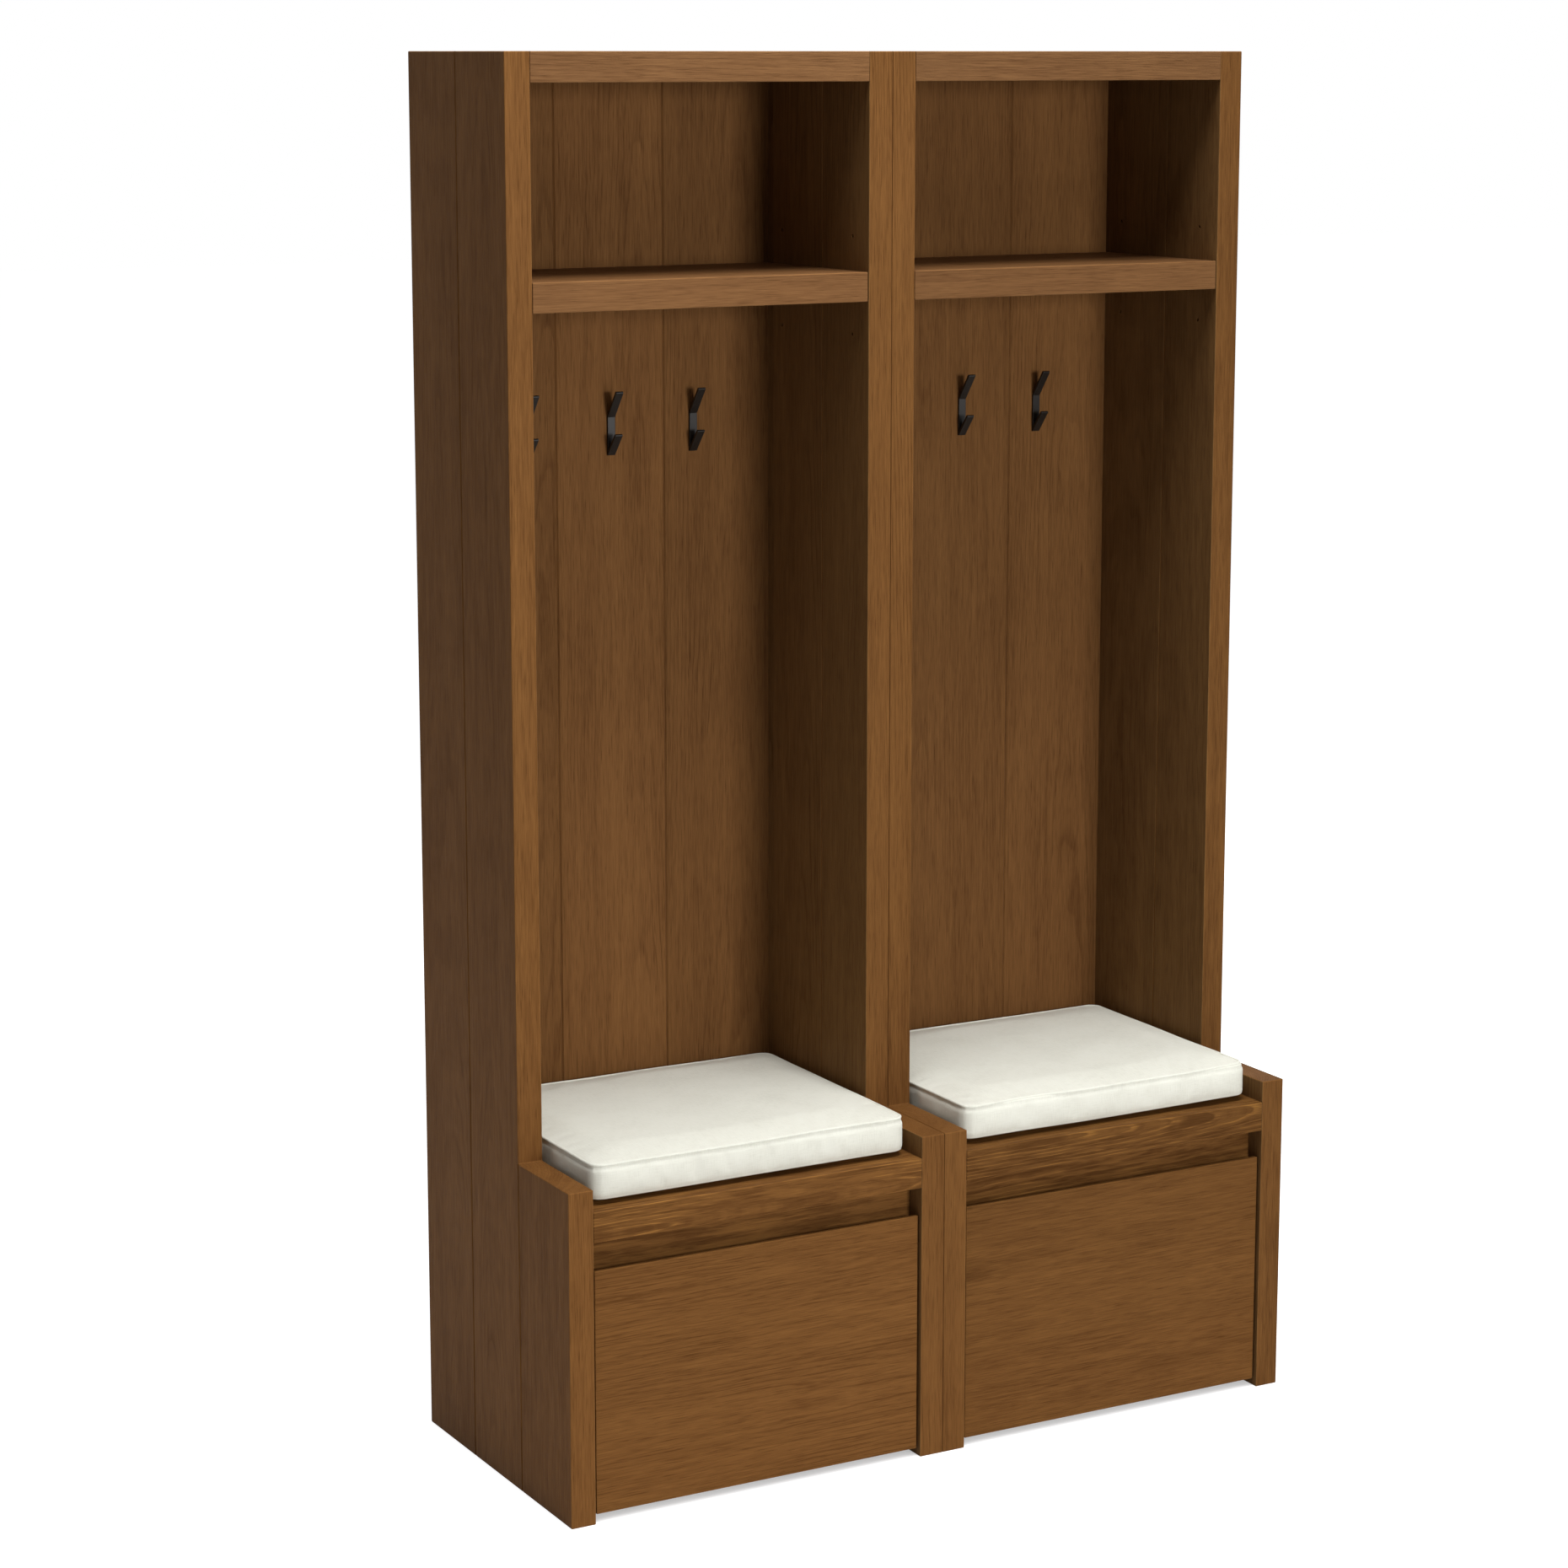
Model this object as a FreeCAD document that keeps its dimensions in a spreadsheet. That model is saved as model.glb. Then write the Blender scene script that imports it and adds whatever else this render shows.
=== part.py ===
import FreeCAD, Part
import math
import os
import re

import Sketcher

V = FreeCAD.Vector

# Driving dimensions in millimetres. Each one becomes a cell of the sheet, with the name as its alias.
DIMENSIONS = {
    # The two towers, which are alike and stand side by side
    "tower_width": 606.0,
    "tower_height": 2032.0,
    "tower_depth": 483.0,
    "side_thickness": 38.0,
    "arm_projection": 162.0,
    "arm_height": 486.5,
    "arris_radius": 1.5,
    "groove_width": 4.0,
    "groove_depth": 2.0,
    "inner_board_width": 164.0,
    # Top, shelf and back
    "top_thickness": 42.0,
    "shelf_thickness": 42.0,
    "shelf_drop": 331.0,
    "shelf_side_gap": 0.8,
    "shelf_front_setback": 1.0,
    "shelf_back_gap": 0.8,
    "back_setback": 23.0,
    "back_thickness": 15.0,
    "back_rebate": 8.0,
    "back_edge_gap": 0.5,
    "back_lift": 10.0,
    "back_boards": 3,
    # Shelf pins and their rows of holes
    "pin_diameter": 5.0,
    "pin_reach": 9.0,
    "pin_hole_depth": 12.0,
    "pin_row_pitch": 70.0,
    "pin_rows_above": 1,
    "pin_rows_below": 1,
    "pin_front_inset": 47.0,
    "pin_rear_inset": 43.0,
    "hole_play": 0.2,
    # Bench
    "seat_top": 454.5,
    "seat_thickness": 44.5,
    "rail_front_gap": 9.0,
    "rail_thickness": 18.0,
    "rail_drop": 70.0,
    "base_lift": 13.5,
    "base_thickness": 18.0,
    "base_front_gap": 4.0,
    # Dowels between the panels and the sides
    "dowel_diameter": 8.0,
    "dowel_bite": 18.0,
    "dowel_inset": 50.0,
    # Coat hooks
    "hook_width": 12.0,
    "hook_bar": 4.0,
    "hook_strap_length": 61.0,
    "hook_drop": 589.0,
    "hook_pitch": 136.0,
    "upper_prong_length": 49.0,
    "upper_prong_angle": 37.0,
    "lower_prong_length": 45.5,
    "lower_prong_angle": 40.0,
    "hook_tip_radius": 1.6,
    "hook_apex_radius": 2.0,
    "hook_arris": 0.4,
    "hook_screw_diameter": 4.0,
    "hook_screw_bite": 3.0,
    "hook_screw_inset": 16.0,
    # Cushions
    "cushion_side_gap": 6.5,
    "cushion_front_setback": 19.0,
    "cushion_back_gap": 14.0,
    "cushion_border": 58.0,
    "cushion_crown": 9.0,
    "cushion_corner_radius": 17.0,
    "cushion_waist": 2.5,
    "cushion_seat_gap": 0.3,
    "cushion_foot": 4.0,
    # Drawers
    "front_setback": 5.0,
    "front_thickness": 19.0,
    "front_side_gap": 3.5,
    "front_lift": 12.5,
    "finger_gap": 42.5,
    "finger_land": 6.0,
    "finger_bevel_drop": 16.0,
    "box_back_gap": 26.0,
    "box_top_gap": 20.0,
    "box_base_gap": 18.5,
    "box_wall": 12.0,
    "box_bottom_thickness": 6.0,
    "box_bottom_lift": 10.0,
    "box_groove_depth": 6.0,
    "box_arris": 0.8,
    "bottom_play": 0.3,
    # Drawer slides, each of three nested channels
    "slide_space": 13.0,
    "slide_height": 45.0,
    "slide_sheet": 1.5,
    "slide_play": 0.3,
    "slide_front_inset": 4.0,
    "slide_back_gap": 32.0,
    "slide_rise": 125.0,
    "cabinet_flange": 10.0,
    "middle_web_place": 3.4,
    "middle_flange": 7.0,
    "drawer_flange": 7.0,
    # Screws and bolts
    "slide_screw_diameter": 3.5,
    "slide_screw_bite": 14.0,
    "slide_screw_head": 7.0,
    "slide_screw_head_height": 1.4,
    "slide_screw_inset": 35.0,
    "box_screw_bite": 8.0,
    "front_screw_diameter": 4.0,
    "front_screw_bite": 12.0,
    "front_screw_head": 8.0,
    "front_screw_head_height": 2.0,
    "front_screw_inset": 60.0,
    "hook_screw_head": 8.0,
    "hook_screw_head_height": 3.0,
    "back_screw_diameter": 3.0,
    "back_screw_bite": 14.0,
    "back_screw_head": 6.0,
    "back_screw_head_height": 2.0,
    "back_screw_inset": 60.0,
    "back_screw_rows": 6,
    "bolt_diameter": 6.0,
    "bolt_sleeve_diameter": 8.0,
    "bolt_sleeve_gap": 27.0,
    "bolt_end_gap": 13.0,
    "bolt_head": 15.0,
    "bolt_head_height": 2.0,
    "bolt_counterbore_depth": 2.5,
    "bolt_head_play": 0.5,
    "upper_bolt_spacing": 110.0,
    "lower_bolt_drop": 35.0,
    "lower_bolt_inset": 90.0,
    # Pilot holes for a wall strap, in the rear edge of each top
    "strap_hole_diameter": 3.5,
    "strap_hole_depth": 20.0,
    "strap_hole_spacing": 64.0,
    "cut_overrun": 1.0,
}

# The cushion's sections from the seam up, as shares of the crown and of the half depth
CROWN_RISE_SHARES = (0.0, 0.34, 0.62, 0.85, 1.0)
CROWN_INSET_SHARES = (0.0, 0.045, 0.14, 0.31, 0.56)
SLIDE_SCREW_SHARES = (0.0, 0.5, 1.0)
SEAT_DOWEL_SHARES = (0.0, 0.5, 1.0)
RAIL_DOWEL_SHARES = (0.25, 0.75)

# The two sides of each tower, from low x to high x
SIDES = {"left": ("outer", "inner"), "right": ("inner", "outer")}


class Size:
    """A length, angle or count: its value now, and the expression that ties it to the sheet."""

    def __init__(self, value, text):
        self.value = value
        self.text = text

    def __add__(self, other):
        other = size(other)
        return Size(self.value + other.value, f"({self.text} + {other.text})")

    def __sub__(self, other):
        other = size(other)
        return Size(self.value - other.value, f"({self.text} - {other.text})")

    def __mul__(self, other):
        other = size(other)
        return Size(self.value * other.value, f"{self.text} * {other.text}")

    def __truediv__(self, other):
        other = size(other)
        return Size(self.value / other.value, f"{self.text} / ({other.text})")

    def __rmul__(self, other):
        return size(other) * self

    def __neg__(self):
        return size(-1) * self


def size(value):
    return value if isinstance(value, Size) else Size(float(value), repr(float(value)))


def sine(angle):
    return Size(math.sin(math.radians(angle.value)), f"sin({angle.text} * 1 deg)")


def cosine(angle):
    return Size(math.cos(math.radians(angle.value)), f"cos({angle.text} * 1 deg)")


def tangent(angle):
    return Size(math.tan(math.radians(angle.value)), f"tan({angle.text} * 1 deg)")


ZERO = size(0)
S = {name: Size(float(value), f"Sizes.{name}") for name, value in DIMENSIONS.items()}
doc = FreeCAD.newDocument("HallTree")


def fill_sheet():
    sheet = doc.addObject("Spreadsheet::Sheet", "Sizes")
    for row, (name, value) in enumerate(DIMENSIONS.items(), start=1):
        sheet.set(f"A{row}", name)
        sheet.set(f"B{row}", str(value))
        sheet.setAlias(f"B{row}", name)
    doc.recompute()


# Places that several pieces share, in a tower's own frame: x from its left face, y from the
# arms' front and z from the floor
OPENING = S["tower_width"] - 2 * S["side_thickness"]
BACK_FACE = S["tower_depth"] - S["back_setback"]
BACK_REAR = BACK_FACE + S["back_thickness"]
SEAT_BOTTOM = S["seat_top"] - S["seat_thickness"]
TOP_BOTTOM = S["tower_height"] - S["top_thickness"]
TALL_DEPTH = S["tower_depth"] - S["arm_projection"]
SHELF_MIDDLE = S["tower_height"] - S["shelf_drop"]
HOOK_BOTTOM = S["tower_height"] - S["hook_drop"]
FRONT_REAR = S["front_setback"] + S["front_thickness"]
FRONT_HEIGHT = SEAT_BOTTOM - S["finger_gap"] - S["front_lift"]
RAIL_FRONT = FRONT_REAR + S["rail_front_gap"]
BASE_FRONT = FRONT_REAR + S["base_front_gap"]
BOX_WIDTH = OPENING - 2 * S["slide_space"]
BOX_DEPTH = BACK_FACE - FRONT_REAR - S["box_back_gap"]
BOX_BOTTOM = S["base_lift"] + S["base_thickness"] + S["box_base_gap"]
BOX_HEIGHT = SEAT_BOTTOM - S["rail_drop"] - S["box_top_gap"] - BOX_BOTTOM
SLIDE_START = FRONT_REAR + S["slide_front_inset"]
SLIDE_LENGTH = BACK_FACE - SLIDE_START - S["slide_back_gap"]
SLIDE_MIDDLE = BOX_BOTTOM + S["slide_rise"]
PIN_COLUMNS = (S["arm_projection"] + S["pin_front_inset"], BACK_FACE - S["pin_rear_inset"])
HOOK_SCREW_HEIGHTS = (
    HOOK_BOTTOM + S["hook_screw_inset"],
    HOOK_BOTTOM + S["hook_strap_length"] - S["hook_screw_inset"],
)
HOOK_PLACES = [S["tower_width"] / 2 + S["hook_pitch"] * step for step in (-1, 0, 1)]

# Each bolt through the middle post: its place from the front and from the floor
SHELF_BOLT_MIDDLE = (PIN_COLUMNS[0] + PIN_COLUMNS[1]) / 2
LOWER_BOLT_HEIGHT = SEAT_BOTTOM - S["lower_bolt_drop"]
BOLTS = [
    (SHELF_BOLT_MIDDLE - S["upper_bolt_spacing"] / 2, SHELF_MIDDLE),
    (SHELF_BOLT_MIDDLE + S["upper_bolt_spacing"] / 2, SHELF_MIDDLE),
    (S["lower_bolt_inset"], LOWER_BOLT_HEIGHT),
    (BACK_FACE - S["lower_bolt_inset"], LOWER_BOLT_HEIGHT),
]

# The dowels at one end of each panel: places from the front and from the floor
TOP_DOWEL_HEIGHT = S["tower_height"] - S["top_thickness"] / 2
SEAT_DOWEL_HEIGHT = S["seat_top"] - S["seat_thickness"] / 2
BASE_DOWEL_HEIGHT = S["base_lift"] + S["base_thickness"] / 2
RAIL_MIDDLE = RAIL_FRONT + S["rail_thickness"] / 2
DOWELS = {
    "top": [
        (S["arm_projection"] + S["dowel_inset"], TOP_DOWEL_HEIGHT),
        (S["tower_depth"] - S["dowel_inset"], TOP_DOWEL_HEIGHT),
    ],
    "seat": [
        (S["dowel_inset"] + (BACK_FACE - 2 * S["dowel_inset"]) * share, SEAT_DOWEL_HEIGHT)
        for share in SEAT_DOWEL_SHARES
    ],
    "rail": [(RAIL_MIDDLE, SEAT_BOTTOM - S["rail_drop"] * share) for share in RAIL_DOWEL_SHARES],
    "base": [
        (BASE_FRONT + S["dowel_inset"], BASE_DOWEL_HEIGHT),
        (BACK_FACE - S["dowel_inset"], BASE_DOWEL_HEIGHT),
    ],
}


def bind(thing, path, value):
    thing.setExpression(path, size(value).text)


def place(thing, x=ZERO, y=ZERO, z=ZERO):
    for axis, value in zip("xyz", (x, y, z)):
        bind(thing, f"Placement.Base.{axis}", value)


def new_body(name):
    body = doc.addObject("PartDesign::Body", name)
    body.Label = name
    body.AllowCompound = True
    return body


def sketch_on(body, plane, name, offset=ZERO):
    """A sketch on one of the body's own planes, moved along that plane's normal."""
    sketch = body.newObject("Sketcher::SketchObject", name)
    origin_plane = [f for f in body.Origin.OriginFeatures if f.Role == f"{plane}_Plane"][0]
    sketch.AttachmentSupport = [(origin_plane, "")]
    sketch.MapMode = "FlatFace"
    bind(sketch, "AttachmentOffset.Base.z", offset)
    return sketch


def tie_point(sketch, edge, end, x, y):
    """Holds one end or centre of an edge at a place measured from the sketch's origin."""
    for kind, value in (("DistanceX", x), ("DistanceY", y)):
        number = sketch.addConstraint(Sketcher.Constraint(kind, -1, 1, edge, end, value.value))
        bind(sketch, f"Constraints[{number}]", value)


def draw_outline(sketch, points):
    """A closed outline of straight lines through points given in sizes."""
    points = [(size(x), size(y)) for x, y in points]
    first = sketch.GeometryCount
    for (x0, y0), (x1, y1) in zip(points, points[1:] + points[:1]):
        sketch.addGeometry(Part.LineSegment(V(x0.value, y0.value, 0), V(x1.value, y1.value, 0)))
    for step, (x, y) in enumerate(points):
        before = first + (step - 1) % len(points)
        sketch.addConstraint(Sketcher.Constraint("Coincident", before, 2, first + step, 1))
        tie_point(sketch, first + step, 1, x, y)


def draw_rectangle(sketch, x0, y0, x1, y1):
    draw_outline(sketch, [(x0, y0), (x1, y0), (x1, y1), (x0, y1)])


def draw_circles(sketch, centres, diameter):
    for x, y in centres:
        x, y = size(x), size(y)
        circle = Part.Circle(V(x.value, y.value, 0), V(0, 0, 1), diameter.value / 2)
        edge = sketch.addGeometry(circle)
        tie_point(sketch, edge, 3, x, y)
        number = sketch.addConstraint(Sketcher.Constraint("Diameter", edge, diameter.value))
        bind(sketch, f"Constraints[{number}]", diameter)


def finish_feature(body, kind, sketch, length, reverse):
    feature = body.newObject(f"PartDesign::{kind}", f"{sketch.Name}_{kind.lower()}")
    feature.Profile = sketch
    feature.Reversed = reverse
    bind(feature, "Length", length)
    sketch.Visibility = False
    body.Tip = feature
    return feature


def pad(body, sketch, length, reverse=False):
    return finish_feature(body, "Pad", sketch, length, reverse)


def pocket(body, sketch, length, reverse=False):
    return finish_feature(body, "Pocket", sketch, length, reverse)


def round_edges(body, label, radius, wanted=None):
    """Rounds the edges of the body so far that are wanted, or all of them."""
    doc.recompute()
    base = body.Tip
    edges = base.Shape.Edges
    names = [f"Edge{number}" for number, edge in enumerate(edges, start=1) if wanted and wanted(edge)]
    fillet = body.newObject("PartDesign::Fillet", f"{body.Name}_{label}")
    fillet.Base = (base, names or ["Edge1"])
    fillet.UseAllEdges = wanted is None
    bind(fillet, "Radius", radius)
    body.Tip = fillet
    return fillet


def runs_across(corners, tolerance):
    """Picks the straight edges along X that pass through the given places in the YZ plane."""

    def wanted(edge):
        start, end = edge.firstVertex().Point, edge.lastVertex().Point
        if abs(start.x - end.x) < tolerance:
            return False
        return any(math.hypot(start.y - y.value, start.z - z.value) < tolerance for y, z in corners)

    return wanted


def lies_across(tolerance):
    """Picks the edges that lie in planes across X."""
    return lambda edge: edge.BoundBox.XLength < tolerance


def bore(body, plane, name, offset, centres, diameter, depth, reverse=False):
    """Round blind holes from one plane into the body."""
    sketch = sketch_on(body, plane, name, offset)
    draw_circles(sketch, centres, diameter)
    return pocket(body, sketch, depth, reverse)


def block(name, width, depth, height, arris):
    """A board with its first corner at the body's origin and every arris rounded."""
    body = new_body(name)
    sketch = sketch_on(body, "XY", f"{name}_plan")
    draw_rectangle(sketch, ZERO, ZERO, width, depth)
    pad(body, sketch, height)
    round_edges(body, "arris", arris)
    return body


def end_dowel_holes(body, name, width, places, y0, z0):
    """Dowel holes into both ends of a board that starts at y0, z0 in its tower."""
    hole = S["dowel_diameter"] + 2 * S["hole_play"]
    depth = S["dowel_bite"] + S["hole_play"]
    centres = [(y - y0, z - z0) for y, z in places]
    bore(body, "YZ", f"{name}_left_end", ZERO, centres, hole, depth, reverse=True)
    bore(body, "YZ", f"{name}_right_end", width, centres, hole, depth)


def side_panel(name, x, hand, joins_tower):
    """One L-shaped side. hand is 1 where it faces its tower's inside on the right, and -1 on the left."""
    body = new_body(name)
    thickness = S["side_thickness"]
    inner = thickness if hand > 0 else ZERO
    outer = ZERO if hand > 0 else thickness
    into_inner = hand < 0
    outline = sketch_on(body, "YZ", f"{name}_outline")
    corners = [
        (ZERO, ZERO),
        (S["tower_depth"], ZERO),
        (S["tower_depth"], S["tower_height"]),
        (S["arm_projection"], S["tower_height"]),
        (S["arm_projection"], S["arm_height"]),
        (ZERO, S["arm_height"]),
    ]
    draw_outline(outline, corners)
    pad(body, outline, thickness)
    round_edges(body, "arris", S["arris_radius"])

    def vee(label, face, inward, middle, height):
        sketch = sketch_on(body, "XY", f"{name}_{label}")
        half = S["groove_width"] / 2
        root = face + S["groove_depth"] * inward
        mouth = face - S["cut_overrun"] * inward
        mouth_half = half + half * S["cut_overrun"] / S["groove_depth"]
        draw_outline(sketch, [(mouth, middle - mouth_half), (root, middle), (mouth, middle + mouth_half)])
        pocket(body, sketch, height, reverse=True)

    vee("arm_groove", outer, hand, S["arm_projection"], S["arm_height"])
    vee("tall_groove", outer, hand, S["arm_projection"] + TALL_DEPTH / 2, S["tower_height"])
    vee("inner_groove", inner, -hand, BACK_FACE - S["inner_board_width"], S["tower_height"])

    rebate = sketch_on(body, "XY", f"{name}_rebate")
    cut = S["cut_overrun"] * hand
    floor_of_rebate = inner - S["back_rebate"] * hand
    edges = [floor_of_rebate, inner + cut]
    low, high = edges if hand > 0 else edges[::-1]
    draw_rectangle(rebate, low, BACK_FACE, high, S["tower_depth"] + S["cut_overrun"])
    pocket(body, rebate, TOP_BOTTOM, reverse=True)

    rows = [SHELF_MIDDLE + S["pin_row_pitch"] * step for step in pin_row_steps()]
    pins = [(y, z) for y in PIN_COLUMNS for z in rows]
    pin_hole = S["pin_diameter"] + 2 * S["hole_play"]
    bore(body, "YZ", f"{name}_pin_holes", inner, pins, pin_hole, S["pin_hole_depth"], into_inner)

    dowels = [spot for panel in DOWELS.values() for spot in panel]
    dowel_hole = S["dowel_diameter"] + 2 * S["hole_play"]
    dowel_depth = S["dowel_bite"] + S["hole_play"]
    bore(body, "YZ", f"{name}_dowel_holes", inner, dowels, dowel_hole, dowel_depth, into_inner)

    screws = slide_screw_places()
    slide_hole = S["slide_screw_diameter"] + 2 * S["hole_play"]
    slide_depth = S["slide_screw_bite"] + S["hole_play"]
    bore(body, "YZ", f"{name}_slide_holes", inner, screws, slide_hole, slide_depth, into_inner)

    screws = [(floor_of_rebate + S["back_rebate"] * hand / 2, z) for z in back_screw_heights()]
    back_hole = S["back_screw_diameter"] + 2 * S["hole_play"]
    back_depth = S["back_screw_bite"] + S["hole_play"]
    bore(body, "XZ", f"{name}_back_holes", -BACK_FACE, screws, back_hole, back_depth, True)

    if joins_tower:
        through = S["bolt_sleeve_diameter"] + 2 * S["hole_play"]
        bore(body, "YZ", f"{name}_bolt_holes", inner, BOLTS, through, thickness, into_inner)
        recess = S["bolt_head"] + 2 * S["bolt_head_play"]
        depth = S["bolt_counterbore_depth"]
        bore(body, "YZ", f"{name}_bolt_recesses", inner, BOLTS, recess, depth, into_inner)
    place(body, x, -S["tower_depth"] / 2)
    return body


def pin_row_steps():
    below, above = DIMENSIONS["pin_rows_below"], DIMENSIONS["pin_rows_above"]
    return range(-int(below), int(above) + 1)


def slide_screw_places():
    first = SLIDE_START + S["slide_screw_inset"]
    run = SLIDE_LENGTH - 2 * S["slide_screw_inset"]
    return [(first + run * share, SLIDE_MIDDLE) for share in SLIDE_SCREW_SHARES]


def back_screw_heights():
    rows = range(int(DIMENSIONS["back_screw_rows"]))
    first = S["back_lift"] + S["back_screw_inset"]
    run = TOP_BOTTOM - first - S["back_screw_inset"]
    return [first + run * step / (S["back_screw_rows"] - 1) for step in rows]


def top_panel(name, x):
    body = block(name, OPENING, TALL_DEPTH, S["top_thickness"], S["arris_radius"])
    end_dowel_holes(body, name, OPENING, DOWELS["top"], S["arm_projection"], TOP_BOTTOM)
    middle = OPENING / 2
    places = [(middle + S["strap_hole_spacing"] * side / 2, S["top_thickness"] / 2) for side in (-1, 1)]
    hole, deep = S["strap_hole_diameter"], S["strap_hole_depth"]
    bore(body, "XZ", f"{name}_strap_holes", -TALL_DEPTH, places, hole, deep, True)
    place(body, x + S["side_thickness"], S["arm_projection"] - S["tower_depth"] / 2, TOP_BOTTOM)
    return body


def shelf(name, x):
    width = OPENING - 2 * S["shelf_side_gap"]
    front = S["arm_projection"] + S["shelf_front_setback"]
    depth = BACK_FACE - S["shelf_back_gap"] - front
    bottom = SHELF_MIDDLE - S["shelf_thickness"] / 2
    body = block(name, width, depth, S["shelf_thickness"], S["arris_radius"])
    slot_half = S["pin_diameter"] / 2 + S["hole_play"]
    slot_top = S["shelf_thickness"] / 2 + S["pin_diameter"] / 2
    slot_reach = S["pin_reach"] - S["shelf_side_gap"] + 2 * S["hole_play"]
    for label, offset, reverse in (("left_slots", ZERO, True), ("right_slots", width, False)):
        sketch = sketch_on(body, "YZ", f"{name}_{label}", offset)
        for column in PIN_COLUMNS:
            middle = column - front
            draw_rectangle(sketch, middle - slot_half, -S["cut_overrun"], middle + slot_half, slot_top)
        pocket(body, sketch, slot_reach, reverse)
    left = x + S["side_thickness"] + S["shelf_side_gap"]
    place(body, left, front - S["tower_depth"] / 2, bottom)
    return body


def back_panel(name, x):
    overlap = S["back_rebate"] - S["back_edge_gap"]
    width = OPENING + 2 * overlap
    height = TOP_BOTTOM - S["back_edge_gap"] - S["back_lift"]
    body = new_body(name)
    sketch = sketch_on(body, "XY", f"{name}_plan")
    boards = int(DIMENSIONS["back_boards"])
    half = S["groove_width"] / 2
    outline = [(ZERO, S["back_thickness"]), (ZERO, ZERO)]
    for step in range(1, boards):
        joint = overlap + OPENING * step / S["back_boards"]
        outline += [(joint - half, ZERO), (joint, S["groove_depth"]), (joint + half, ZERO)]
    outline += [(width, ZERO), (width, S["back_thickness"])]
    draw_outline(sketch, outline)
    pad(body, sketch, height)
    left = S["side_thickness"] - overlap
    hooks = [(hook - left, z - S["back_lift"]) for hook in HOOK_PLACES for z in HOOK_SCREW_HEIGHTS]
    hook_hole = S["hook_screw_diameter"] + 2 * S["hole_play"]
    through = S["back_thickness"]
    rear = -S["back_thickness"]
    bore(body, "XZ", f"{name}_hook_holes", rear, hooks, hook_hole, through, True)
    inset = overlap - S["back_rebate"] / 2
    columns = (inset, width - inset)
    edges = [(column, z - S["back_lift"]) for column in columns for z in back_screw_heights()]
    edge_hole = S["back_screw_diameter"] + 2 * S["hole_play"]
    bore(body, "XZ", f"{name}_edge_holes", rear, edges, edge_hole, through, True)
    place(body, x + left, BACK_FACE - S["tower_depth"] / 2, S["back_lift"])
    return body


def seat_panel(name, x):
    body = block(name, OPENING, BACK_FACE, S["seat_thickness"], S["arris_radius"])
    end_dowel_holes(body, name, OPENING, DOWELS["seat"], ZERO, SEAT_BOTTOM)
    place(body, x + S["side_thickness"], -S["tower_depth"] / 2, SEAT_BOTTOM)
    return body


def finger_rail(name, x):
    bottom = SEAT_BOTTOM - S["rail_drop"]
    body = block(name, OPENING, S["rail_thickness"], S["rail_drop"], S["box_arris"])
    end_dowel_holes(body, name, OPENING, DOWELS["rail"], RAIL_FRONT, bottom)
    place(body, x + S["side_thickness"], RAIL_FRONT - S["tower_depth"] / 2, bottom)
    return body


def base_panel(name, x):
    depth = BACK_FACE - BASE_FRONT
    body = block(name, OPENING, depth, S["base_thickness"], S["box_arris"])
    end_dowel_holes(body, name, OPENING, DOWELS["base"], BASE_FRONT, S["base_lift"])
    place(body, x + S["side_thickness"], BASE_FRONT - S["tower_depth"] / 2, S["base_lift"])
    return body


def coat_hook(name, x):
    """One flat bar, bent forward at the top and folded forward into a vee at the bottom."""
    body = new_body(name)
    bar, strap = S["hook_bar"], S["hook_strap_length"]
    up, low = S["upper_prong_angle"], S["lower_prong_angle"]
    upper, lower = S["upper_prong_length"], S["lower_prong_length"]
    upper_tip = (-upper * sine(up), strap + upper * cosine(up))
    lower_tip = (-lower * sine(low), lower * cosine(low))
    outline = [
        (ZERO, ZERO),
        (ZERO, strap),
        upper_tip,
        (upper_tip[0] - bar * cosine(up), upper_tip[1] - bar * sine(up)),
        (-bar, strap - bar * tangent(up / 2)),
        (-bar, bar / tangent(low / 2)),
        (lower_tip[0] + bar * cosine(low), lower_tip[1] + bar * sine(low)),
        lower_tip,
    ]
    sketch = sketch_on(body, "YZ", f"{name}_bend", -S["hook_width"] / 2)
    draw_outline(sketch, outline)
    pad(body, sketch, S["hook_width"])
    tips = [outline[2], outline[3], outline[6], outline[7]]
    close = DIMENSIONS["hook_arris"] / 2
    round_edges(body, "tips", S["hook_tip_radius"], runs_across(tips, close))
    round_edges(body, "apex", S["hook_apex_radius"], runs_across(outline[:1], close))
    round_edges(body, "arris", S["hook_arris"], lies_across(close))
    holes = [(ZERO, z - HOOK_BOTTOM) for z in HOOK_SCREW_HEIGHTS]
    tap = S["hook_screw_diameter"] + 2 * S["hole_play"]
    deep = S["hook_screw_bite"] + S["hole_play"]
    bore(body, "XZ", f"{name}_taps", ZERO, holes, tap, deep, True)
    place(body, x, BACK_FACE - S["tower_depth"] / 2, HOOK_BOTTOM)
    return body


def screw_group(name, plane, faces, shank, head):
    """A group of plain round screws. Each face gives its offset along the plane's normal, the centres,
    the way that the shank runs (1 along the normal), and the depths of shank and head."""
    body = new_body(name)
    for number, (offset, centres, way, bite, height) in enumerate(faces):
        shanks = sketch_on(body, plane, f"{name}_shank_{number}", offset)
        draw_circles(shanks, centres, shank)
        pad(body, shanks, bite, way < 0)
        heads = sketch_on(body, plane, f"{name}_head_{number}", offset)
        draw_circles(heads, centres, head)
        pad(body, heads, height, way > 0)
    return body


def peg_group(name, plane, faces, diameter):
    """A group of plain round pegs, as (offset along the plane's normal, centres, length)."""
    body = new_body(name)
    for number, (offset, centres, length) in enumerate(faces):
        sketch = sketch_on(body, plane, f"{name}_row_{number}", offset)
        draw_circles(sketch, centres, diameter)
        pad(body, sketch, length)
    return body


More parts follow.
